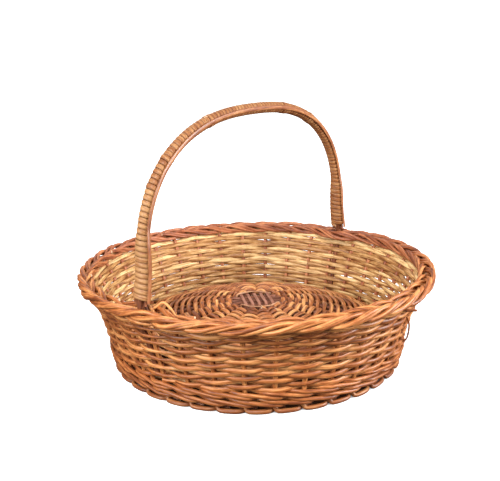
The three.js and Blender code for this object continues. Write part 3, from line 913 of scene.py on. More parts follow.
@dataclass
class Border:
    """The plaited border's line, which the stakes end in."""

    strand_count: int = 5
    wide: float = 6.5 * MM
    high: float = 3.6 * MM
    rod: float = 2.3 * MM
    leg_wide: float = 10 * MM
    leg_off: float = 2.5 * MM
    fullness: float = 0.9

    def __post_init__(self) -> None:
        """Works out the plait's middle line."""
        self.radius = SIZES.rim_radius - self.wide - self.rod
        self.height = SIZES.rim_height - self.high - self.rod
        self.leg_setback = self.radius + self.leg_off - SIZES.leg_radius

    @staticmethod
    def nearness(angle: np.ndarray) -> np.ndarray:
        """How near an angle is to a leg of the handle.

        Args:
            angle: Angles about the basket's axis.

        Returns:
            One at a leg, zero from some stakes away on.
        """
        spread = SIZES.leg_spread_share * SIZES.spacing
        nearest = np.minimum(*(turned_from(angle, leg) for leg in LEG_ANGLES))
        return np.cos(math.pi / 2 * np.minimum(nearest / spread, 1)) ** 2

    def place(self, index: float, share: np.ndarray, slack: float) -> np.ndarray:
        """Points of a stake's end in the border.

        Args:
            index: Number of the stake.
            share: Stake spacings from the stake.
            slack: Extra swing.

        Returns:
            The points.
        """
        angle = SIZES.stake_angle(index) + share * SIZES.spacing
        near = self.nearness(angle)
        turn = FULL_TURN * share / self.strand_count
        swing = np.tanh(self.fullness * np.sin(turn)) / math.tanh(self.fullness)
        across = (lerp(self.wide, self.leg_wide, near) + slack) * swing
        height = self.height - (self.high + slack) * np.sin(2 * turn)
        return polar(self.radius + across - self.leg_setback * near, angle, height)


@dataclass(frozen=True)
class LooseEnd:
    """The thin end of a rod that has come away from the basket.

    A place is a share of the rim's radius, a number of stake spacings and a share of the rim's height.
    """

    stake: int
    half: float
    tone: float
    place_shares: tuple[tuple[float, float, float], ...]
    end_shares: Range = (1.0, 0.8)

    def strand(self) -> Strand:
        """The end as a strand.

        Returns:
            The strand.
        """
        radius, spacings, height = np.array(self.place_shares).T
        points = polar(radius * SIZES.rim_radius, SIZES.stake_angle(spacings), height * SIZES.rim_height)
        line = smooth_line(points)
        return Strand(line, tapered(len(line), self.half, self.end_shares), tone=self.tone)


BENT_END = LooseEnd(
    stake=17, half=1.3 * MM, tone=1.1,
    place_shares=(
        (0.884, 17.6, 0.866), (0.8785, 17.9, 0.9381), (0.8729, 18.15, 0.9897), (0.8674, 18.38, 1.0361),
        (0.8619, 18.6, 0.9897), (0.8619, 18.85, 0.9072), (0.8674, 19.1, 0.8454),
    ),
)
SHORT_END = LooseEnd(
    stake=24, half=1.4 * MM, tone=0.1,
    place_shares=((0.9503, 26.0, 0.8742), (0.9834, 26.2, 0.868), (1.0193, 26.4, 0.8639)),
)
THIN_END = LooseEnd(
    stake=25, half=1.0 * MM, tone=0.6,
    place_shares=(
        (0.8895, 27.1, 0.7835), (0.8867, 27.5, 0.6598), (0.8961, 27.7, 0.5567), (0.8906, 27.8, 0.4639),
        (0.8674, 28.1, 0.3402), (0.8177, 28.4, 0.2577),
    ),
)


@dataclass
class Stakes:
    """The stakes, with the foot that they start in and the border that they end in."""

    shop: Workshop
    border: Border = field(default_factory=Border)
    foot_path_shares: tuple[tuple[float, float], ...] = (
        (1.4, 1.0), (1.2, 1.0), (1.05, 0.86), (0.9, 0.45), (0.75, 0.12), (0.5, 0.0), (0.2, 0.0), (0.06, 0.12)
    )
    foot_slim_share: float = 0.88
    foot_end_lift: float = 0.5 * MM
    upright_shares: Range = (0.02, 0.95)
    upright_points: int = 9
    border_shares: Range = (0.25, 5.2)
    partner_shares: Range = (0.1, 5.0)
    border_share_step: float = 0.125
    partner_step_share: float = 0.3
    stub_every: int = 3
    stub_share: float = 4.4
    tip_share: float = 0.68
    end_share: float = 1.06
    slack: float = 0.35 * MM
    half_shares: Range = (0.95, 1.04)
    partner_half_shares: Range = (0.9, 1.05)
    tones: Range = (0.25, 0.75)
    partner_tones: Range = (0.25, 0.8)
    line_steps: int = 6
    wobble: float = 0.22 * MM
    loose_ends: tuple[LooseEnd, ...] = (BENT_END, SHORT_END, THIN_END)

    def __post_init__(self) -> None:
        """Takes a random source of its own."""
        self.random = self.shop.random(1)

    def strand(self, index: int) -> Strand:
        """One stake from its foot to its end in the border.

        Args:
            index: Number of the stake.

        Returns:
            The strand.
        """
        angle = SIZES.stake_angle(index)
        spacings, inward = np.array(self.foot_path_shares).T
        lift = np.zeros(len(spacings))
        lift[-1] = self.foot_end_lift
        foot = polar(
            lerp(SIZES.foot_outer_radius, SIZES.foot_inner_radius, inward),
            angle + spacings * SIZES.spacing,
            SIZES.foot_rod_diameter / 2 + lift,
        )
        runs = np.linspace(*self.upright_shares, self.upright_points) * WALL.runs[-1]
        upright, _ = WALL.off(runs, 0.0, angle)
        shares = np.arange(*self.border_shares, self.border_share_step)
        border = self.border.place(index, shares, self.random.normal(0, self.slack))
        half = np.concatenate(
            [
                np.full(len(foot), self.foot_slim_share * SIZES.foot_rod_diameter / 2),
                np.full(len(upright), SIZES.stake_diameter / 2),
                tapered(len(border), self.border.rod, (self.end_share, self.tip_share)),
            ]
        )
        half = half * self.random.uniform(*self.half_shares)
        line = smooth_line(np.column_stack([np.vstack([foot, upright, border]), half]), self.line_steps)
        return Strand(line[:, :3], line[:, 3], tone=self.random.uniform(*self.tones))

    def partner(self, index: int) -> Strand:
        """A second rod that fills the border beside a stake's end.

        Args:
            index: Number of the stake.

        Returns:
            The strand.
        """
        slack = self.random.normal(0, self.slack)
        shares = np.arange(*self.partner_shares, self.border_share_step)
        if index % self.stub_every == 0:
            shares = shares[shares < self.stub_share]
        points = self.border.place(index + self.partner_step_share, shares, slack)
        butt = self.border.rod * self.random.uniform(*self.partner_half_shares)
        half = tapered(len(points), butt, (1, self.tip_share))
        line = smooth_line(np.column_stack([points, half]), self.line_steps)
        return Strand(line[:, :3], line[:, 3], tone=self.random.uniform(*self.partner_tones))

    def build(self) -> None:
        """Makes one piece for each stake."""
        for index in range(SIZES.stake_count):
            node = f"stake_{index + 1:02d}"
            strands = [self.strand(index), self.partner(index)]
            strands += [end.strand() for end in self.loose_ends if end.stake == index]
            numbers = {"Seed": index, "Wobble": self.wobble}
            self.shop.piece(f"rod_{node}", node, strands, STAKE_FINISH, "stake_rods", **numbers)


@dataclass
class Bend:
    """A place where a weaver passes a post."""

    index: int
    angle: float
    half: float
    side: Side


def wall_bends(first: int, count: int, side_of: Callable[[int], Side]) -> list[Bend]:
    """The bends of a weaver in the wall, at each stake and at each leg of the handle.

    Args:
        first: Number of its first stake.
        count: Stakes that it passes after that.
        side_of: Side on which it passes a stake.

    Returns:
        The bends in order.
    """
    bends = []
    for index in range(first, first + count + 1):
        angle = SIZES.stake_angle(index)
        for leg in LEG_ANGLES:
            if abs(angle % FULL_TURN - leg - SIZES.first_angle) < SIZES.spacing / 2:
                bends.append(Bend(index, angle - SIZES.first_angle, SIZES.neck_diameter / 2, side_of(index)))
        bends.append(Bend(index, angle, SIZES.stake_diameter / 2, side_of(index)))
    return bends


def past_bends(bends: Sequence[Bend], thickness: float, steps: int = 10) -> tuple[np.ndarray, ...]:
    """A weaver's way past its bends, swinging smoothly from side to side.

    Args:
        bends: The bends.
        thickness: Half thickness of the weaver, across the wall.
        steps: Points for each stretch.

    Returns:
        The share of each point along the bends, its angle and its distance from the wall's middle.
    """
    shares = np.linspace(0, len(bends) - 1, (len(bends) - 1) * steps + 1)
    whole = np.minimum(shares.astype(int), len(bends) - 2)
    offsets = np.array([bend.side.value * (bend.half + thickness) for bend in bends])
    out = lerp(offsets[whole], offsets[whole + 1], ease(shares - whole))
    return shares, np.interp(shares, np.arange(len(bends)), [bend.angle for bend in bends]), out


@dataclass
class Wale:
    """Three rods woven together round the foot of the wall."""

    shop: Workshop
    rod_count: int = 3
    diameter: float = 4 * MM
    height: float = 12 * MM
    rounds: int = 2
    climb: float = 8 * MM
    step_turns: float = 0.07
    smoothing: int = 7
    end_shares: Range = (1.04, 0.88)
    tones: Range = (0.3, 0.7)
    wobble: float = 0.2 * MM
    first_seed: int = 40

    def __post_init__(self) -> None:
        """Works out how far the rods lie apart."""
        self.random = self.shop.random(2)
        self.half = self.diameter / 2
        self.spread = self.diameter + SIZES.seat_gap
        self.top_run = WALL.run_at(self.height + self.climb + self.spread / 2 + self.half)

    def strand(self, number: int) -> Strand:
        """One rod of the wale.

        Args:
            number: Number of the rod.

        Returns:
            The strand.
        """
        behind = self.rod_count - 1
        around = self.rounds * SIZES.stake_count

        def phase(index: int) -> int:
            """How many stakes the rod has passed since it last came out."""
            return (index - number + around) % self.rod_count

        bends = wall_bends(
            number + behind, around, lambda index: Side.UNDER if phase(index) == behind else Side.OVER
        )
        lifts = [0.0 if bend.side is Side.UNDER else 0.5 - phase(bend.index) for bend in bends]
        keys, values = [0.0], [lifts[0]]
        for i, (bend, after) in enumerate(zip(bends, bends[1:])):
            if bend.side is not after.side:
                keys.append(i + 0.5)
                values.append(lifts[i if bend.side is Side.OVER else i + 1])
            keys.append(i + 1.0)
            values.append(lifts[i + 1])
        shares, angles, out = past_bends(bends, self.half)
        lift = np.pad(np.interp(shares, keys, values), self.smoothing // 2, mode="edge")
        lift = np.convolve(lift, np.ones(self.smoothing) / self.smoothing, mode="valid")
        step = ease(((angles - angles[0]) / FULL_TURN - 1) / self.step_turns + 0.5)
        runs = WALL.run_at(self.height + lift * self.spread + step * self.climb)
        points, normals = WALL.off(runs, out, angles)
        half = tapered(len(points), self.half, self.end_shares)
        return Strand(points, half, up=normals, tone=self.random.uniform(*self.tones))

    def build(self) -> None:
        """Makes one piece for each rod."""
        for i in range(self.rod_count):
            numbers = {"Seed": self.first_seed + i, "Wobble": self.wobble}
            name, node = f"rod_wale_{i + 1}", f"wale_rod_{i + 1}"
            self.shop.piece(name, node, [self.strand(i)], WALE_FINISH, "wale_rods", **numbers)


@dataclass
class SideWeave:
    """Two weavers that climb the wall in alternate rows, each made of several rods."""

    shop: Workshop
    wale: Wale
    row_count: int = 17
    crowding_share: float = 0.04
    weaver_count: int = 2
    row_gap: float = 0.5 * MM
    top_overlap: float = 1.8 * MM
    wale_overlap: float = 1.8 * MM
    half: float = 2.78 * MM
    thick_share: float = 0.8
    front_slim_share: float = 0.06
    side_slim_share: float = 0.07
    rod_bends: int = 31
    rod_bends_spread: int = 4
    late_share: float = 0.1
    step_share: float = 0.25
    snugness_share: float = 0.46
    unevenness: float = 0.36 * MM
    leg_slot_share: float = 0.5
    leg_slot_width_share: float = 0.75
    leg_slot_depth_share: float = 0.35
    butt_shares: Range = (0.92, 1.16)
    tip_shares: Range = (0.82, 0.92)
    tones: Range = (0.15, 0.85)
    wobble: float = 0.4 * MM
    thickness_share: float = 0.1
    first_seed: int = 60

    def __post_init__(self) -> None:
        """Works out the rows."""
        self.random = self.shop.random(3)
        self.bottom = self.wale.top_run - self.wale_overlap
        self.pitch = (WALL.runs[-1] + self.top_overlap - self.bottom + self.row_gap) / self.row_count

    def slimness(self, points: np.ndarray) -> np.ndarray:
        """How much of its thickness a weaver has: less in front, at both sides and round the near leg.

        Args:
            points: The weaver's points.

        Returns:
            A share for each point.
        """
        angle = np.arctan2(points[:, 1], points[:, 0])
        facing = np.cos(angle - FRONT_ANGLE)
        slim = 1 - self.front_slim_share * facing - self.side_slim_share * (1 - facing**2)
        aside = turned_from(angle, math.pi + self.leg_slot_share * SIZES.spacing)
        slot = ease(1 - aside / (self.leg_slot_width_share * SIZES.spacing))
        return slim * (1 - self.leg_slot_depth_share * slot)

    def strands(self, number: int) -> Iterator[Strand]:
        """The rods of one weaver.

        Args:
            number: Number of the weaver.

        Yields:
            The rods from the lowest up.
        """
        each = SIZES.stake_count // self.weaver_count
        bends = wall_bends(
            number * each,
            self.row_count * each,
            lambda index: Side.UNDER if (index + number) % 2 == 0 else Side.OVER,
        )
        climbed = np.array([bend.angle - bends[0].angle for bend in bends]) / FULL_TURN * self.weaver_count
        rows = np.floor(climbed) - 1 + ease(climbed % 1 / self.step_share)
        rows = np.clip(rows, 0, self.row_count - 1)
        climb_share = rows / (self.row_count - 1)
        rows = rows + self.crowding_share * self.row_count * climb_share * (1 - climb_share)
        runs = self.bottom + (self.pitch - self.row_gap) / 2 + rows * self.pitch
        low, last = int(self.late_share * each), len(bends) - 1
        while low < last:
            spread = self.random.integers(-self.rod_bends_spread, self.rod_bends_spread + 1)
            high = min(low + self.rod_bends + int(spread), last)
            while high < last and bends[high].side is not Side.UNDER:
                high += 1
            stretch = slice(low, high + 1)
            uneven = runs[stretch] + self.random.normal(0, self.unevenness, high + 1 - low)
            shares, angle, out = past_bends(bends[stretch], self.half * self.thick_share)
            run = np.interp(shares, np.arange(len(uneven)), uneven)
            points, normals = WALL.off(run, self.snugness_share * out, angle)
            ends = (self.random.uniform(*self.butt_shares), self.random.uniform(*self.tip_shares))
            half = tapered(len(points), self.half, ends) * self.slimness(points)
            tone = self.random.uniform(*self.tones)
            yield Strand(points, half, flat=self.thick_share, up=normals, tone=tone)
            low = high

    def build(self) -> None:
        """Makes one piece for each weaver."""
        for i in range(self.weaver_count):
            numbers = {"Seed": self.first_seed + i, "Wobble": self.wobble}
            numbers["Thickness_Share"] = self.thickness_share
            name, node = f"weave_side_{i + 1}", f"side_weaver_{i + 1}"
            self.shop.piece(name, node, list(self.strands(i)), SIDE_FINISH, "side_weavers", **numbers)


@dataclass
class Base:
    """The crowned base: its cross of sticks, the tie round it and the two weavers."""

    shop: Workshop
    wale: Wale
    spoke_count: int = 18
    split_count: int = 5
    through_count: int = 4
    stick_diameter: float = 4.6 * MM
    split_pitch: float = 7 * MM
    through_pitch: float = 7.5 * MM
    split_skin: float = 2 * MM
    split_bar_share: float = 0.84
    cross_half: float = 18 * MM
    cross_ease: float = 3.5 * MM
    fan_radius: float = 34 * MM
    edge_height: float = 20 * MM
    crown: float = 33 * MM
    line_steps: int = 60
    fan_points: int = 9
    edge_points: int = 5
    tie_radius: float = 22.5 * MM
    tie_width: float = 4.2 * MM
    tie_thickness: float = 2.2 * MM
    tie_lift: float = 0.3 * MM
    tie_half: float = 0.9 * MM
    tie_flat_share: float = 0.8
    tie_points: int = 5
    tie_steps: int = 6
    rounds: int = 31
    start_inset: float = 5.5 * MM
    row_gap: float = 0.7 * MM
    weaver_count: int = 2
    weaver_thickness: float = 2.4 * MM
    weaver_halves: Range = (2.25 * MM, 2.55 * MM)
    weaver_flat_share: float = 0.68
    weaver_rod_spokes: tuple[int, int] = (13, 24)
    weaver_dwell_shares: tuple[float, float, float] = (0.0, 0.1, 0.22)
    points_per_spoke: int = 14
    unevenness: float = 0.2 * MM
    seat: float = 0.4 * MM
    axis: float = 47.5 * DEGREE
    hexagon: float = math.sin(math.pi / 3)
    bar_end_shares: Range = (1.05, 0.94)
    stick_end_shares: Range = (1.04, 0.94)
    stick_half_shares: Range = (0.96, 1.06)
    weaver_end_shares: Range = (1.06, 0.88)
    bar_tones: Range = (0.7, 0.95)
    # painted shade: the sticks that show in the slots between weavers get low tones, so the slots read as
    # shadow
    shaded_bar_end_tone: float = 0.15
    shaded_stick_tones: Range = (0.05, 0.3)
    split_wobble: float = 0.12 * MM
    through_wobble: float = 0.1 * MM
    weaver_thickness_share: float = 0.1
    split_seed: int = 80
    through_seed: int = 90
    tie_seed: int = 99
    weaver_seed: int = 100
    tie_tone: float = 0.3
    weaver_tones: Range = (0.15, 0.85)

    def __post_init__(self) -> None:
        """Works out the crown and the rows."""
        self.random = self.shop.random(4)
        self.spoke_spacing = FULL_TURN / self.spoke_count
        self.stick_half = self.stick_diameter / 2
        self.stick_top = self.stick_half * self.hexagon
        need = SIZES.stake_diameter / 2 + SIZES.seat_gap + self.wale.half
        slope = 2 * need / (SIZES.wall_foot_radius * SIZES.spacing)
        edge = float(wall_flare(self.edge_height)) - self.wale.half - SIZES.seat_gap - slope * self.stick_half
        self.tip_radius = edge - self.stick_top * 2 * self.crown / edge
        outer = np.linspace(self.fan_radius, self.tip_radius, self.edge_points)
        knots = np.array([0, self.cross_half, *outer])
        radii = np.linspace(0, self.tip_radius, self.line_steps)
        heights = np.interp(radii, knots, self.fall(np.maximum(knots, self.cross_half)))
        self.line = ProfileLine(np.stack([radii, heights], axis=1))
        self.tie_pitch = self.tie_width + self.row_gap
        tie_end = self.tie_radius + self.tie_pitch + self.tie_width / 2 - self.start_inset
        inner = float(wall_flare(self.wale.height)) - need * math.hypot(1, slope) - self.wale.half
        self.pitch = (inner - SIZES.seat_gap - tie_end) / (self.rounds + 1)
        self.start_radius = tie_end + self.pitch / 2 + self.row_gap / 2

    def fall(self, radius: Any) -> Any:
        """Height of the base's middle surface at a distance from the axis."""
        return self.edge_height + self.crown * (1 - (radius / self.tip_radius) ** 2)

    def off(self, radius: np.ndarray, above: np.ndarray, angle: np.ndarray) -> tuple[np.ndarray, np.ndarray]:
        """Points above or below the base's middle surface.

        Args:
            radius: Distances from the axis.
            above: Distances from the surface.
            angle: Angles about the axis.

        Returns:
            The points and the upward directions.
        """
        runs = np.interp(radius, self.line.points[:, 0], self.line.runs)
        points, out = self.line.off(runs, -np.asarray(above), angle)
        return points, -out

    def lane(self, axis: float, runs: Any, lane: float, lift: Any = 0.0) -> np.ndarray:
        """Points of a straight lane of the cross.

        Args:
            axis: Direction of its group.
            runs: Distances along it from the middle.
            lane: Its distance from the group's middle.
            lift: Height over the cross.

        Returns:
            The points.
        """
        runs = np.asarray(runs)
        return polar(np.hypot(runs, lane), axis + np.arctan2(lane, runs), self.fall(self.cross_half) + lift)

    def fan(self, axis: float, lane: float, turn: float) -> np.ndarray:
        """Half of a stick's line, from the cross outwards.

        Args:
            axis: Direction of its group.
            lane: Its distance from the group's middle.
            turn: How far it turns away from the group.

        Returns:
            The points.
        """
        radii = np.linspace(self.fan_radius, self.tip_radius, self.fan_points)
        shoulder = self.lane(axis, self.cross_half, lane)
        return np.vstack([shoulder, polar(radii, axis + turn, self.fall(radii))])

    def through_strands(self, place: float) -> list[Strand]:
        """A stick that is pushed through the split ones, from end to end.

        Args:
            place: Its place in the group, zero in the middle.

        Returns:
            Its one strand.
        """
        axis = self.axis + math.pi / 2
        lane, turn = place * self.through_pitch, place * self.spoke_spacing
        near = self.fan(axis + math.pi, -lane, -turn)[::-1]
        middle = self.lane(axis, (-self.cross_half / 2, self.cross_half / 2), lane)
        line = smooth_line(np.vstack([near, middle, self.fan(axis, lane, turn)]))
        half = self.stick_half * self.random.uniform(*self.stick_half_shares)
        half = tapered(len(line), half, self.stick_end_shares)
        return [Strand(line, half, tone=self.random.uniform(*self.shaded_stick_tones))]

    def split_strands(self, place: float) -> list[Strand]:
        """A split stick: the two halves that pass over and under the other sticks, and its two ends.

        Args:
            place: Its place in the group, zero in the middle.

        Returns:
            The strands.
        """
        lane, turn = place * self.split_pitch, place * self.spoke_spacing
        tone = self.random.uniform(*self.bar_tones)
        swell = self.cross_half - self.cross_ease
        runs = np.array([-self.cross_half, -swell, -swell / 2, swell / 2, swell, self.cross_half])
        low, high = self.split_skin / 2, self.stick_top + SIZES.seat_gap + self.split_skin / 2
        lifts = np.array([low, high, high, high, high, low])
        strands = []
        for side in Side:
            line = smooth_line(self.lane(self.axis, runs, lane, side.value * lifts))
            flat = self.split_skin / self.stick_diameter
            strands.append(Strand(line, self.split_bar_share * self.stick_half, flat=flat, tone=tone))
        for half_turn, sign in ((0.0, 1), (math.pi, -1)):
            line = smooth_line(self.fan(self.axis + half_turn, sign * lane, sign * turn))
            half = tapered(len(line), self.stick_half, self.bar_end_shares)
            strands.append(Strand(line, half, tone=self.shaded_bar_end_tone))
        return strands

    def tie_strand(self) -> Strand:
        """The rod that binds the cross, over the split sticks and under the others.

        Returns:
            The strand.
        """
        margin = self.stick_diameter / self.tie_radius
        above = self.stick_top + SIZES.seat_gap + self.tie_lift + self.tie_thickness / 2
        rows = []
        for quarter in range(4):
            count, side = ((self.split_count, Side.OVER), (self.through_count, Side.UNDER))[quarter % 2]
            reach = (count - 1) / 2 * self.spoke_spacing + margin
            turned = quarter / 4 * FULL_TURN + np.linspace(-reach, reach, self.tie_points)
            radius = self.tie_radius + turned / FULL_TURN * self.tie_pitch
            heights = np.full(self.tie_points, side.value * above)
            rows.append(np.hstack(self.off(radius, heights, self.axis + turned)))
        line = smooth_line(np.vstack(rows), self.tie_steps)
        points, up = line[:, :3], line[:, 3:]
        return Strand(points, self.tie_half, flat=self.tie_flat_share, up=up, tone=self.tie_tone)

    def weaver_strands(self, number: int) -> Iterator[Strand]:
        """The rods of one weaver of the base.

        Args:
            number: Number of the weaver.

        Yields:
            The rods from the middle outwards.
        """
        start = number * self.spoke_count / self.weaver_count
        count = self.rounds * self.spoke_count // self.weaver_count
        shares = np.linspace(0, count, count * self.points_per_spoke + 1)
        dwell = np.interp(shares, [0, count / 3, count], self.weaver_dwell_shares)
        swing = ease((shares % 1 - dwell) / (1 - 2 * dwell))
        over = np.where((shares.astype(int) + number + start) % 2 == 0, 1.0, -1.0)
        height = self.stick_top + self.seat + self.weaver_thickness / 2
        radius = self.start_radius + self.weaver_count * shares / self.spoke_count * self.pitch
        angle = self.axis + (start + shares) * self.spoke_spacing
        points, up = self.off(radius, over * height * (1 - 2 * swing), angle)
        bounds = [0]
        while bounds[-1] < count:
            bounds.append(min(bounds[-1] + int(self.random.integers(*self.weaver_rod_spokes)), count))
        for low, high in zip(bounds, bounds[1:]):
            cut = (shares >= low) & (shares <= high)
            rod = points[cut] + self.random.normal(0, self.unevenness) * polar(1.0, angle[cut], 0.0)
            half = tapered(len(rod), self.random.uniform(*self.weaver_halves), self.weaver_end_shares)
            tone = self.random.uniform(*self.weaver_tones)
            yield Strand(rod, half, flat=self.weaver_flat_share, up=up[cut], tone=tone)

    def build(self) -> None:
        """Makes the sticks, the tie and the weavers."""
        groups = (
            ("split_stick", self.split_count, self.split_strands, self.split_seed, self.split_wobble),
            (
                "through_stick", self.through_count, self.through_strands,
                self.through_seed, self.through_wobble,
            ),
        )
        for kind, count, strands_at, seed, wobble in groups:
            for i in range(count):
                node = f"{kind}_{i + 1}"
                strands = strands_at(i - (count - 1) / 2)
                numbers = {"Seed": seed + i, "Wobble": wobble}
                self.shop.piece(f"rod_{node}", node, strands, STICK_FINISH, "base_sticks", **numbers)
        tie = [self.tie_strand()]
        self.shop.piece("rod_base_tie", "base_tie", tie, TIE_FINISH, "base_tie_rod", Seed=self.tie_seed)
        for i in range(self.weaver_count):
            numbers = {"Seed": self.weaver_seed + i, "Thickness_Share": self.weaver_thickness_share}
            name, node = f"weave_base_{i + 1}", f"base_weaver_{i + 1}"
            self.shop.piece(name, node, list(self.weaver_strands(i)), BASE_FINISH, "base_weavers", **numbers)


@dataclass
class Handle:
    """The arch: a bow rod, short side rods, the cane wound over them and the leader strip."""

    shop: Workshop
    half_width: float = 161.5 * MM
    base_rise: float = 26.4 * MM
    power: float = 2.48
    guide_points: int = 17
    line_steps: int = 24
    bow_diameter: float = 8 * MM
    bow_steps: int = 3
    bow_skip: int = 6
    bow_tone: float = 0.5
    leg_tip_height: float = 27 * MM
    leg_top_share: float = 0.93
    leg_points: int = 6
    side_rod_diameter: float = 2.8 * MM
    side_rod_tip_diameter: float = 1.6 * MM
    side_rod_length: float = 50 * MM
    side_rod_ease: float = 16 * MM
    side_rod_points: int = 14
    side_rod_wobble: float = 0.05 * MM
    side_rod_tone: float = 0.6
    cane_width: float = 5.1 * MM
    cane_thickness: float = 1.3 * MM
    cane_pitch: float = 4.7 * MM
    cane_corner_count: int = 8
    cane_joint_shares: tuple[float, ...] = (0.3, 0.4, 0.63, 0.755, 0.81)
    cane_overlap_turns: float = 1.2
    cane_overlap_lift_share: float = 0.35
    cane_points_per_turn: int = 36
    cane_tones: Range = (0.55, 0.8)
    cane_last_tone: float = 0.95
    cane_wobble: float = 0.04 * MM
    cane_step: float = 1.2 * MM
    cane_thickness_share: float = 0.04
    end_setback: float = 3 * MM
    leader_width: float = 4.4 * MM
    leader_thickness: float = 1.2 * MM
    leader_points: int = 160
    leader_wobble: float = 0.05 * MM
    leader_tone: float = 0.5
    bow_seed: int = 120
    side_rod_seed: int = 121
    cane_seed: int = 125
    leader_seed: int = 126

    def __post_init__(self) -> None:
        """Works out the arch."""
        self.random = self.shop.random(5)
        self.bow_half = self.bow_diameter / 2
        self.corner = math.cos(math.pi / self.cane_corner_count)
        self.reach = (self.bow_half + SIZES.seat_gap) / self.corner
        top = SIZES.handle_height - self.reach - self.cane_thickness
        angles = np.linspace(0, math.pi, self.guide_points)
        across = np.sign(np.cos(angles)) * np.abs(np.cos(angles)) ** (2 / self.power)
        up = np.abs(np.sin(angles)) ** (2 / self.power)
        height = lerp(SIZES.rim_height + self.base_rise, top, up)
        guide = np.column_stack([self.half_width * across, np.zeros(len(angles)), height])
        shoulder = SIZES.rim_height + SIZES.seat_gap
        right, left = ((sign * SIZES.leg_radius, 0.0, shoulder) for sign in (1, -1))
        self.line = smooth_line(np.vstack([right, guide, left]), self.line_steps)
        self.runs = Strand(self.line, self.bow_half).along()
        self.length = float(self.runs[-1])
        self.slopes = np.gradient(self.line, self.runs, axis=0)

    def at(self, run: Any) -> tuple[np.ndarray, np.ndarray]:
        """Place and outward direction on the arch.

        Args:
            run: Distances along it.

        Returns:
            The points and the directions away from the arch's middle.
        """
        run = np.clip(run, 0, self.length)
        place, along = (
            np.stack([np.interp(run, self.runs, column) for column in rows.T], axis=-1)
            for rows in (self.line, self.slopes)
        )
        return place, -np.cross(SIDEWAYS, along / np.linalg.norm(along, axis=-1, keepdims=True))

    def side_half(self, run: Any) -> Any:
        """Half thickness of a side rod at a distance from the arch's end."""
        share = np.minimum(run / self.side_rod_length, 1)
        return lerp(self.side_rod_diameter / 2, self.side_rod_tip_diameter / 2, share)

    def spread(self, run: Any) -> Any:
        """Half width of the winding's inside, across the handle.

        Args:
            run: Distances along the arch.

        Returns:
            The half widths, larger near both ends.
        """
        from_end = np.minimum(run, self.length - run)
        packed = 2 * self.side_half(from_end) + SIZES.seat_gap
        share = 1 - np.clip((from_end - self.side_rod_length) / self.side_rod_ease, 0, 1)
        return self.reach + packed * share / self.corner

    def bow_strand(self) -> Strand:
        """The bow, from one leg's tip in the wall to the other's.

        Returns:
            The strand.
        """
        heights = np.linspace(self.leg_tip_height, self.leg_top_share * SIZES.wall_top, self.leg_points)
        radii = np.append(wall_flare(heights), SIZES.leg_radius)
        heights = np.append(heights, SIZES.rim_height - SIZES.border_rod_diameter / 2)
        right, left = (polar(radii, angle, heights) for angle in LEG_ANGLES)
        arch = self.line[self.bow_skip : -self.bow_skip : self.bow_skip]
        neck = np.full(len(right), SIZES.neck_diameter / 2)
        half = np.concatenate([neck, np.full(len(arch), self.bow_half), neck])
        line = smooth_line(np.column_stack([np.vstack([right, arch, left[::-1]]), half]), self.bow_steps)
        return Strand(line[:, :3], line[:, 3], tone=self.bow_tone)

    def side_strand(self, from_right: bool, side: int) -> Strand:
        """A short rod that widens a leg.

        Args:
            from_right: True for the leg at +X.
            side: Sign of its place across the handle.

        Returns:
            The strand.
        """
        runs = np.linspace(0, self.side_rod_length, self.side_rod_points)
        place, _ = self.at(runs if from_right else self.length - runs)
        half = self.side_half(runs)
        aside = side * (self.bow_half + SIZES.seat_gap + half)
        return Strand(place + np.outer(aside, SIDEWAYS), half, tone=self.side_rod_tone)

    def winding_strands(self) -> Iterator[Strand]:
        """The cane, in one helix over the whole arch, made of lengths that overlap at their ends.

        Yields:
            The lengths of cane.
        """
        first = self.end_setback + self.cane_width / 2
        turns = (self.length - 2 * first) / self.cane_pitch
        bounds = [0.0, *(turns * share for share in self.cane_joint_shares), turns]
        flat = self.cane_thickness / self.cane_pitch
        for low, high in zip(bounds, bounds[1:]):
            last = min(high + self.cane_overlap_turns, turns)
            turned = np.linspace(low, last, int((last - low) * self.cane_points_per_turn))
            run = first + turned * self.cane_pitch
            place, out = self.at(run)
            lift = self.cane_thickness * (0.5 + self.cane_overlap_lift_share * ease(1 + turned - high))
            outwards = out * np.cos(FULL_TURN * turned)[:, None]
            aside = np.outer(np.sin(FULL_TURN * turned), SIDEWAYS)
            points = place + outwards * (self.reach * self.corner + lift)[:, None]
            points += aside * (self.spread(run) * self.corner + lift)[:, None]
            tone = self.cane_last_tone if high == turns else self.random.uniform(*self.cane_tones)
            yield Strand(points, self.cane_pitch / 2, flat=flat, up=outwards + aside, tone=tone)

    def leader_strand(self) -> Strand:
        """The strip along the handle's side.

        Returns:
            The strand.
        """
        runs = np.linspace(self.end_setback, self.length - self.end_setback, self.leader_points)
        place, _ = self.at(runs)
        aside = self.spread(runs) * self.corner + self.cane_thickness + self.leader_thickness / 2
        points = place - np.outer(aside, SIDEWAYS)
        flat = self.leader_thickness / self.leader_width
        return Strand(points, self.leader_width / 2, flat=flat, up=SIDEWAYS, tone=self.leader_tone)

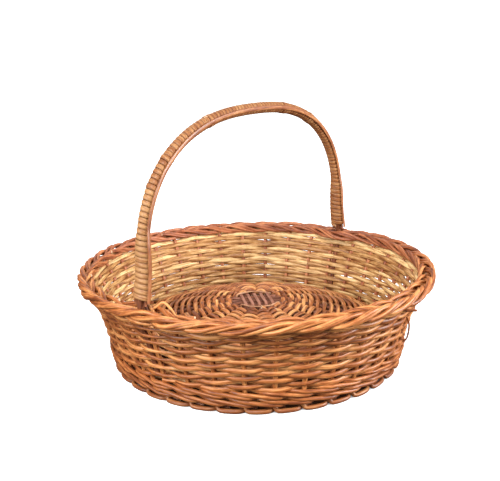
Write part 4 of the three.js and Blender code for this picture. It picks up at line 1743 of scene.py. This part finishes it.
    def build(self) -> None:
        """Makes the handle's pieces."""
        piece = self.shop.piece
        strands = [self.bow_strand()]
        piece("rod_handle_bow", "handle_bow", strands, BOW_FINISH, "handle_rods", Seed=self.bow_seed)
        for end in ("right", "left"):
            for side, side_name in ((-1, "front"), (1, "back")):
                node = f"handle_side_rod_{end}_{side_name}"
                strands = [self.side_strand(end == "right", side)]
                numbers = {"Seed": self.side_rod_seed, "Wobble": self.side_rod_wobble}
                piece(f"rod_{node}", node, strands, BOW_FINISH, "handle_rods", **numbers)
        numbers = {"Seed": self.cane_seed, "Wobble": self.cane_wobble, "Step": self.cane_step}
        numbers["Thickness_Share"] = self.cane_thickness_share
        strands = list(self.winding_strands())
        piece("cane_handle_winding", "handle_winding", strands, CANE_FINISH, "handle_cane", **numbers)
        numbers = {"Seed": self.leader_seed, "Wobble": self.leader_wobble}
        strands = [self.leader_strand()]
        piece("cane_handle_leader", "handle_leader", strands, LEADER_FINISH, "handle_leader_strip", **numbers)


# Studio


@dataclass(frozen=True)
class CameraSizes:
    """The photograph's camera, fitted to the basket's outlines."""

    azimuth: float = -53.196 * DEGREE
    elevation: float = 22.977 * DEGREE
    distance: float = 793.07 * MM
    yaw: float = -0.444 * DEGREE
    pitch: float = 8.31 * DEGREE
    roll: float = 1.024 * DEGREE
    focal_pixels: float = 736.34
    middle_row: float = 240.5
    image_width: float = 500.0
    image_height: float = 481.0
    sensor_width: float = 36.0  # in millimetres, as lenses are
    nearest: float = 10 * MM
    farthest: float = 10000 * MM


@dataclass(frozen=True)
class FloorSizes:
    """A round floor that curves up into a backdrop all round."""

    flat_radius: float = 2200 * MM
    bend: float = 800 * MM
    top_radius: float = 3000 * MM
    top_height: float = 2400 * MM
    bend_steps: int = 12
    corner_count: int = 96
    # painted shadow: the floor's colour under the basket
    under_color: tuple[float, ...] = (0.12, 0.05, 0.02, 1)
    color: tuple[float, ...] = (0.92, 0.92, 0.92, 1)


@dataclass(frozen=True)
class Light:
    """A round soft light, with its place and size in shares of the lights' reach."""

    name: str
    place_shares: tuple[float, float, float]
    size_share: float
    power: float


LIGHTS = (
    Light("key", (-0.9, -0.5, 1.2), 0.42, 21.0),
    Light("fill", (0.7, -1.35, 0.45), 0.7, 42.0),
    Light("front", (-1.45, 0.3, 0.45), 0.7, 22.0),
    Light("back", (0.9, 1.1, 1.2), 1.0, 5.0),
)


@dataclass(frozen=True)
class Studio:
    """Floor, soft light, sky and camera."""

    view: CameraSizes = CameraSizes()
    ground: FloorSizes = FloorSizes()
    lights: tuple[Light, ...] = LIGHTS
    light_reach: float = 1000 * MM
    aim_height: float = 60 * MM
    sky_heights: Range = (-0.1, 0.8)
    sky_strengths: Range = (0.08, 0.6)

    def camera(self) -> None:
        """Makes the camera at the photograph's place."""
        view = self.view
        level = math.cos(view.elevation)
        toward = (math.sin(view.azimuth) * level, -math.cos(view.azimuth) * level, math.sin(view.elevation))
        back = Vector(toward)
        right = Vector((math.cos(view.azimuth), math.sin(view.azimuth), 0))
        up = right.cross(-back)
        forward = (-back + right * math.tan(view.yaw) + up * math.tan(view.pitch)).normalized()
        right = forward.cross(Vector(UPWARDS)).normalized()
        up = right.cross(forward)
        turned_right = right * math.cos(view.roll) - up * math.sin(view.roll)
        turned_up = right * math.sin(view.roll) + up * math.cos(view.roll)
        data = bpy.data.cameras.new("camera")
        data.sensor_width = view.sensor_width
        data.lens = view.focal_pixels * view.sensor_width / view.image_width
        data.shift_y = (view.middle_row - view.image_height / 2) / view.image_width
        data.clip_start = view.nearest
        data.clip_end = view.farthest
        camera = link_object("camera", data)
        matrix = Matrix((turned_right, turned_up, -forward)).transposed().to_4x4()
        matrix.translation = back * view.distance
        camera.matrix_world = matrix
        bpy.context.scene.camera = camera

    def floor_mesh(self) -> bpy.types.Mesh:
        """The floor's rings and the middle point that they lie round.

        Returns:
            The mesh.
        """
        ground = self.ground
        turns = np.linspace(0, math.pi / 2, ground.bend_steps + 1)
        radii = [*(ground.flat_radius + ground.bend * np.sin(turns)), ground.top_radius]
        heights = [*(ground.bend * (1 - np.cos(turns))), ground.top_height]
        count = ground.corner_count
        angles = np.linspace(0, FULL_TURN, count, endpoint=False)
        rings = [polar(radius, angles, height) for radius, height in zip(radii, heights)]
        points = np.vstack([np.zeros((1, 3)), *rings])
        corners = [(i, (i + 1) % count) for i in range(count)]
        faces = [(0, 1 + i, 1 + after) for i, after in corners]
        for ring in range(len(rings) - 1):
            low, high = 1 + ring * count, 1 + (ring + 1) * count
            faces += [(low + i, high + i, high + after, low + after) for i, after in corners]
        mesh = bpy.data.meshes.new("floor")
        mesh.from_pydata(points.tolist(), [], faces)
        mesh.shade_smooth()
        return mesh

    def floor(self) -> None:
        """Makes the floor, pale all round, with a painted shadow in brown under the basket, where it also
        stops glowing.
        """
        material, write, shader = new_material("floor")
        place = write.add("ShaderNodeTexCoord").outputs["Object"]
        radius = write.vector("LENGTH", place)
        # painted shadow: under the basket the floor turns brown and stops glowing
        unshadowed = write.spread(radius, SIZES.foot_inner_radius, SIZES.foot_radius, "LINEAR")
        color = write.mix(unshadowed, self.ground.under_color, self.ground.color)
        write.feed(shader, Roughness=1.0, Base_Color=color)
        write.feed(shader, Emission_Color=(1, 1, 1, 1), Emission_Strength=unshadowed)
        mesh = self.floor_mesh()
        mesh.materials.append(material)
        floor = link_object("floor", mesh)
        floor.visible_diffuse = False
        floor.visible_glossy = False

    def light(self, light: Light) -> None:
        """Makes one light.

        Args:
            light: Its sizes.
        """
        data = bpy.data.lights.new(light.name, "AREA")
        data.shape = "DISK"
        data.size = light.size_share * self.light_reach
        data.energy = light.power
        made = link_object(light.name, data)
        place = Vector(light.place_shares) * self.light_reach
        made.location = place
        made.rotation_mode = "QUATERNION"
        aim = self.aim_height * Vector(UPWARDS)
        made.rotation_quaternion = (aim - place).to_track_quat("-Z", "Y")

    def sky(self) -> None:
        """Makes a pale sky that is brighter towards its top."""
        world = bpy.data.worlds.new("studio")
        world.use_nodes = True
        write = NodeWriter(world.node_tree)
        ray = write.add("ShaderNodeTexCoord").outputs["Generated"]
        height = write.add("ShaderNodeSeparateXYZ", Vector=ray).outputs[2]
        strength = write.spread(height, *self.sky_heights, "LINEAR", self.sky_strengths)
        write.feed(world.node_tree.nodes["Background"], Color=(1, 1, 1, 1), Strength=strength)
        bpy.context.scene.world = world
        bpy.context.scene.view_settings.view_transform = "Standard"

    def build(self) -> None:
        """Makes the whole studio."""
        self.camera()
        self.floor()
        for light in self.lights:
            self.light(light)
        self.sky()


def main() -> None:
    """Builds the dressed basket and its studio."""
    logging.basicConfig(level=logging.INFO)
    shop = Workshop(RodTree(), FinishShop())
    wale = Wale(shop)
    Studio().build()
    Stakes(shop).build()
    wale.build()
    SideWeave(shop, wale).build()
    Base(shop, wale).build()
    Handle(shop).build()
    for piece in shop.pieces:
        LOG.info("%s: %d points", piece.name, len(piece.data.vertices))


if __name__ == "__main__":
    main()
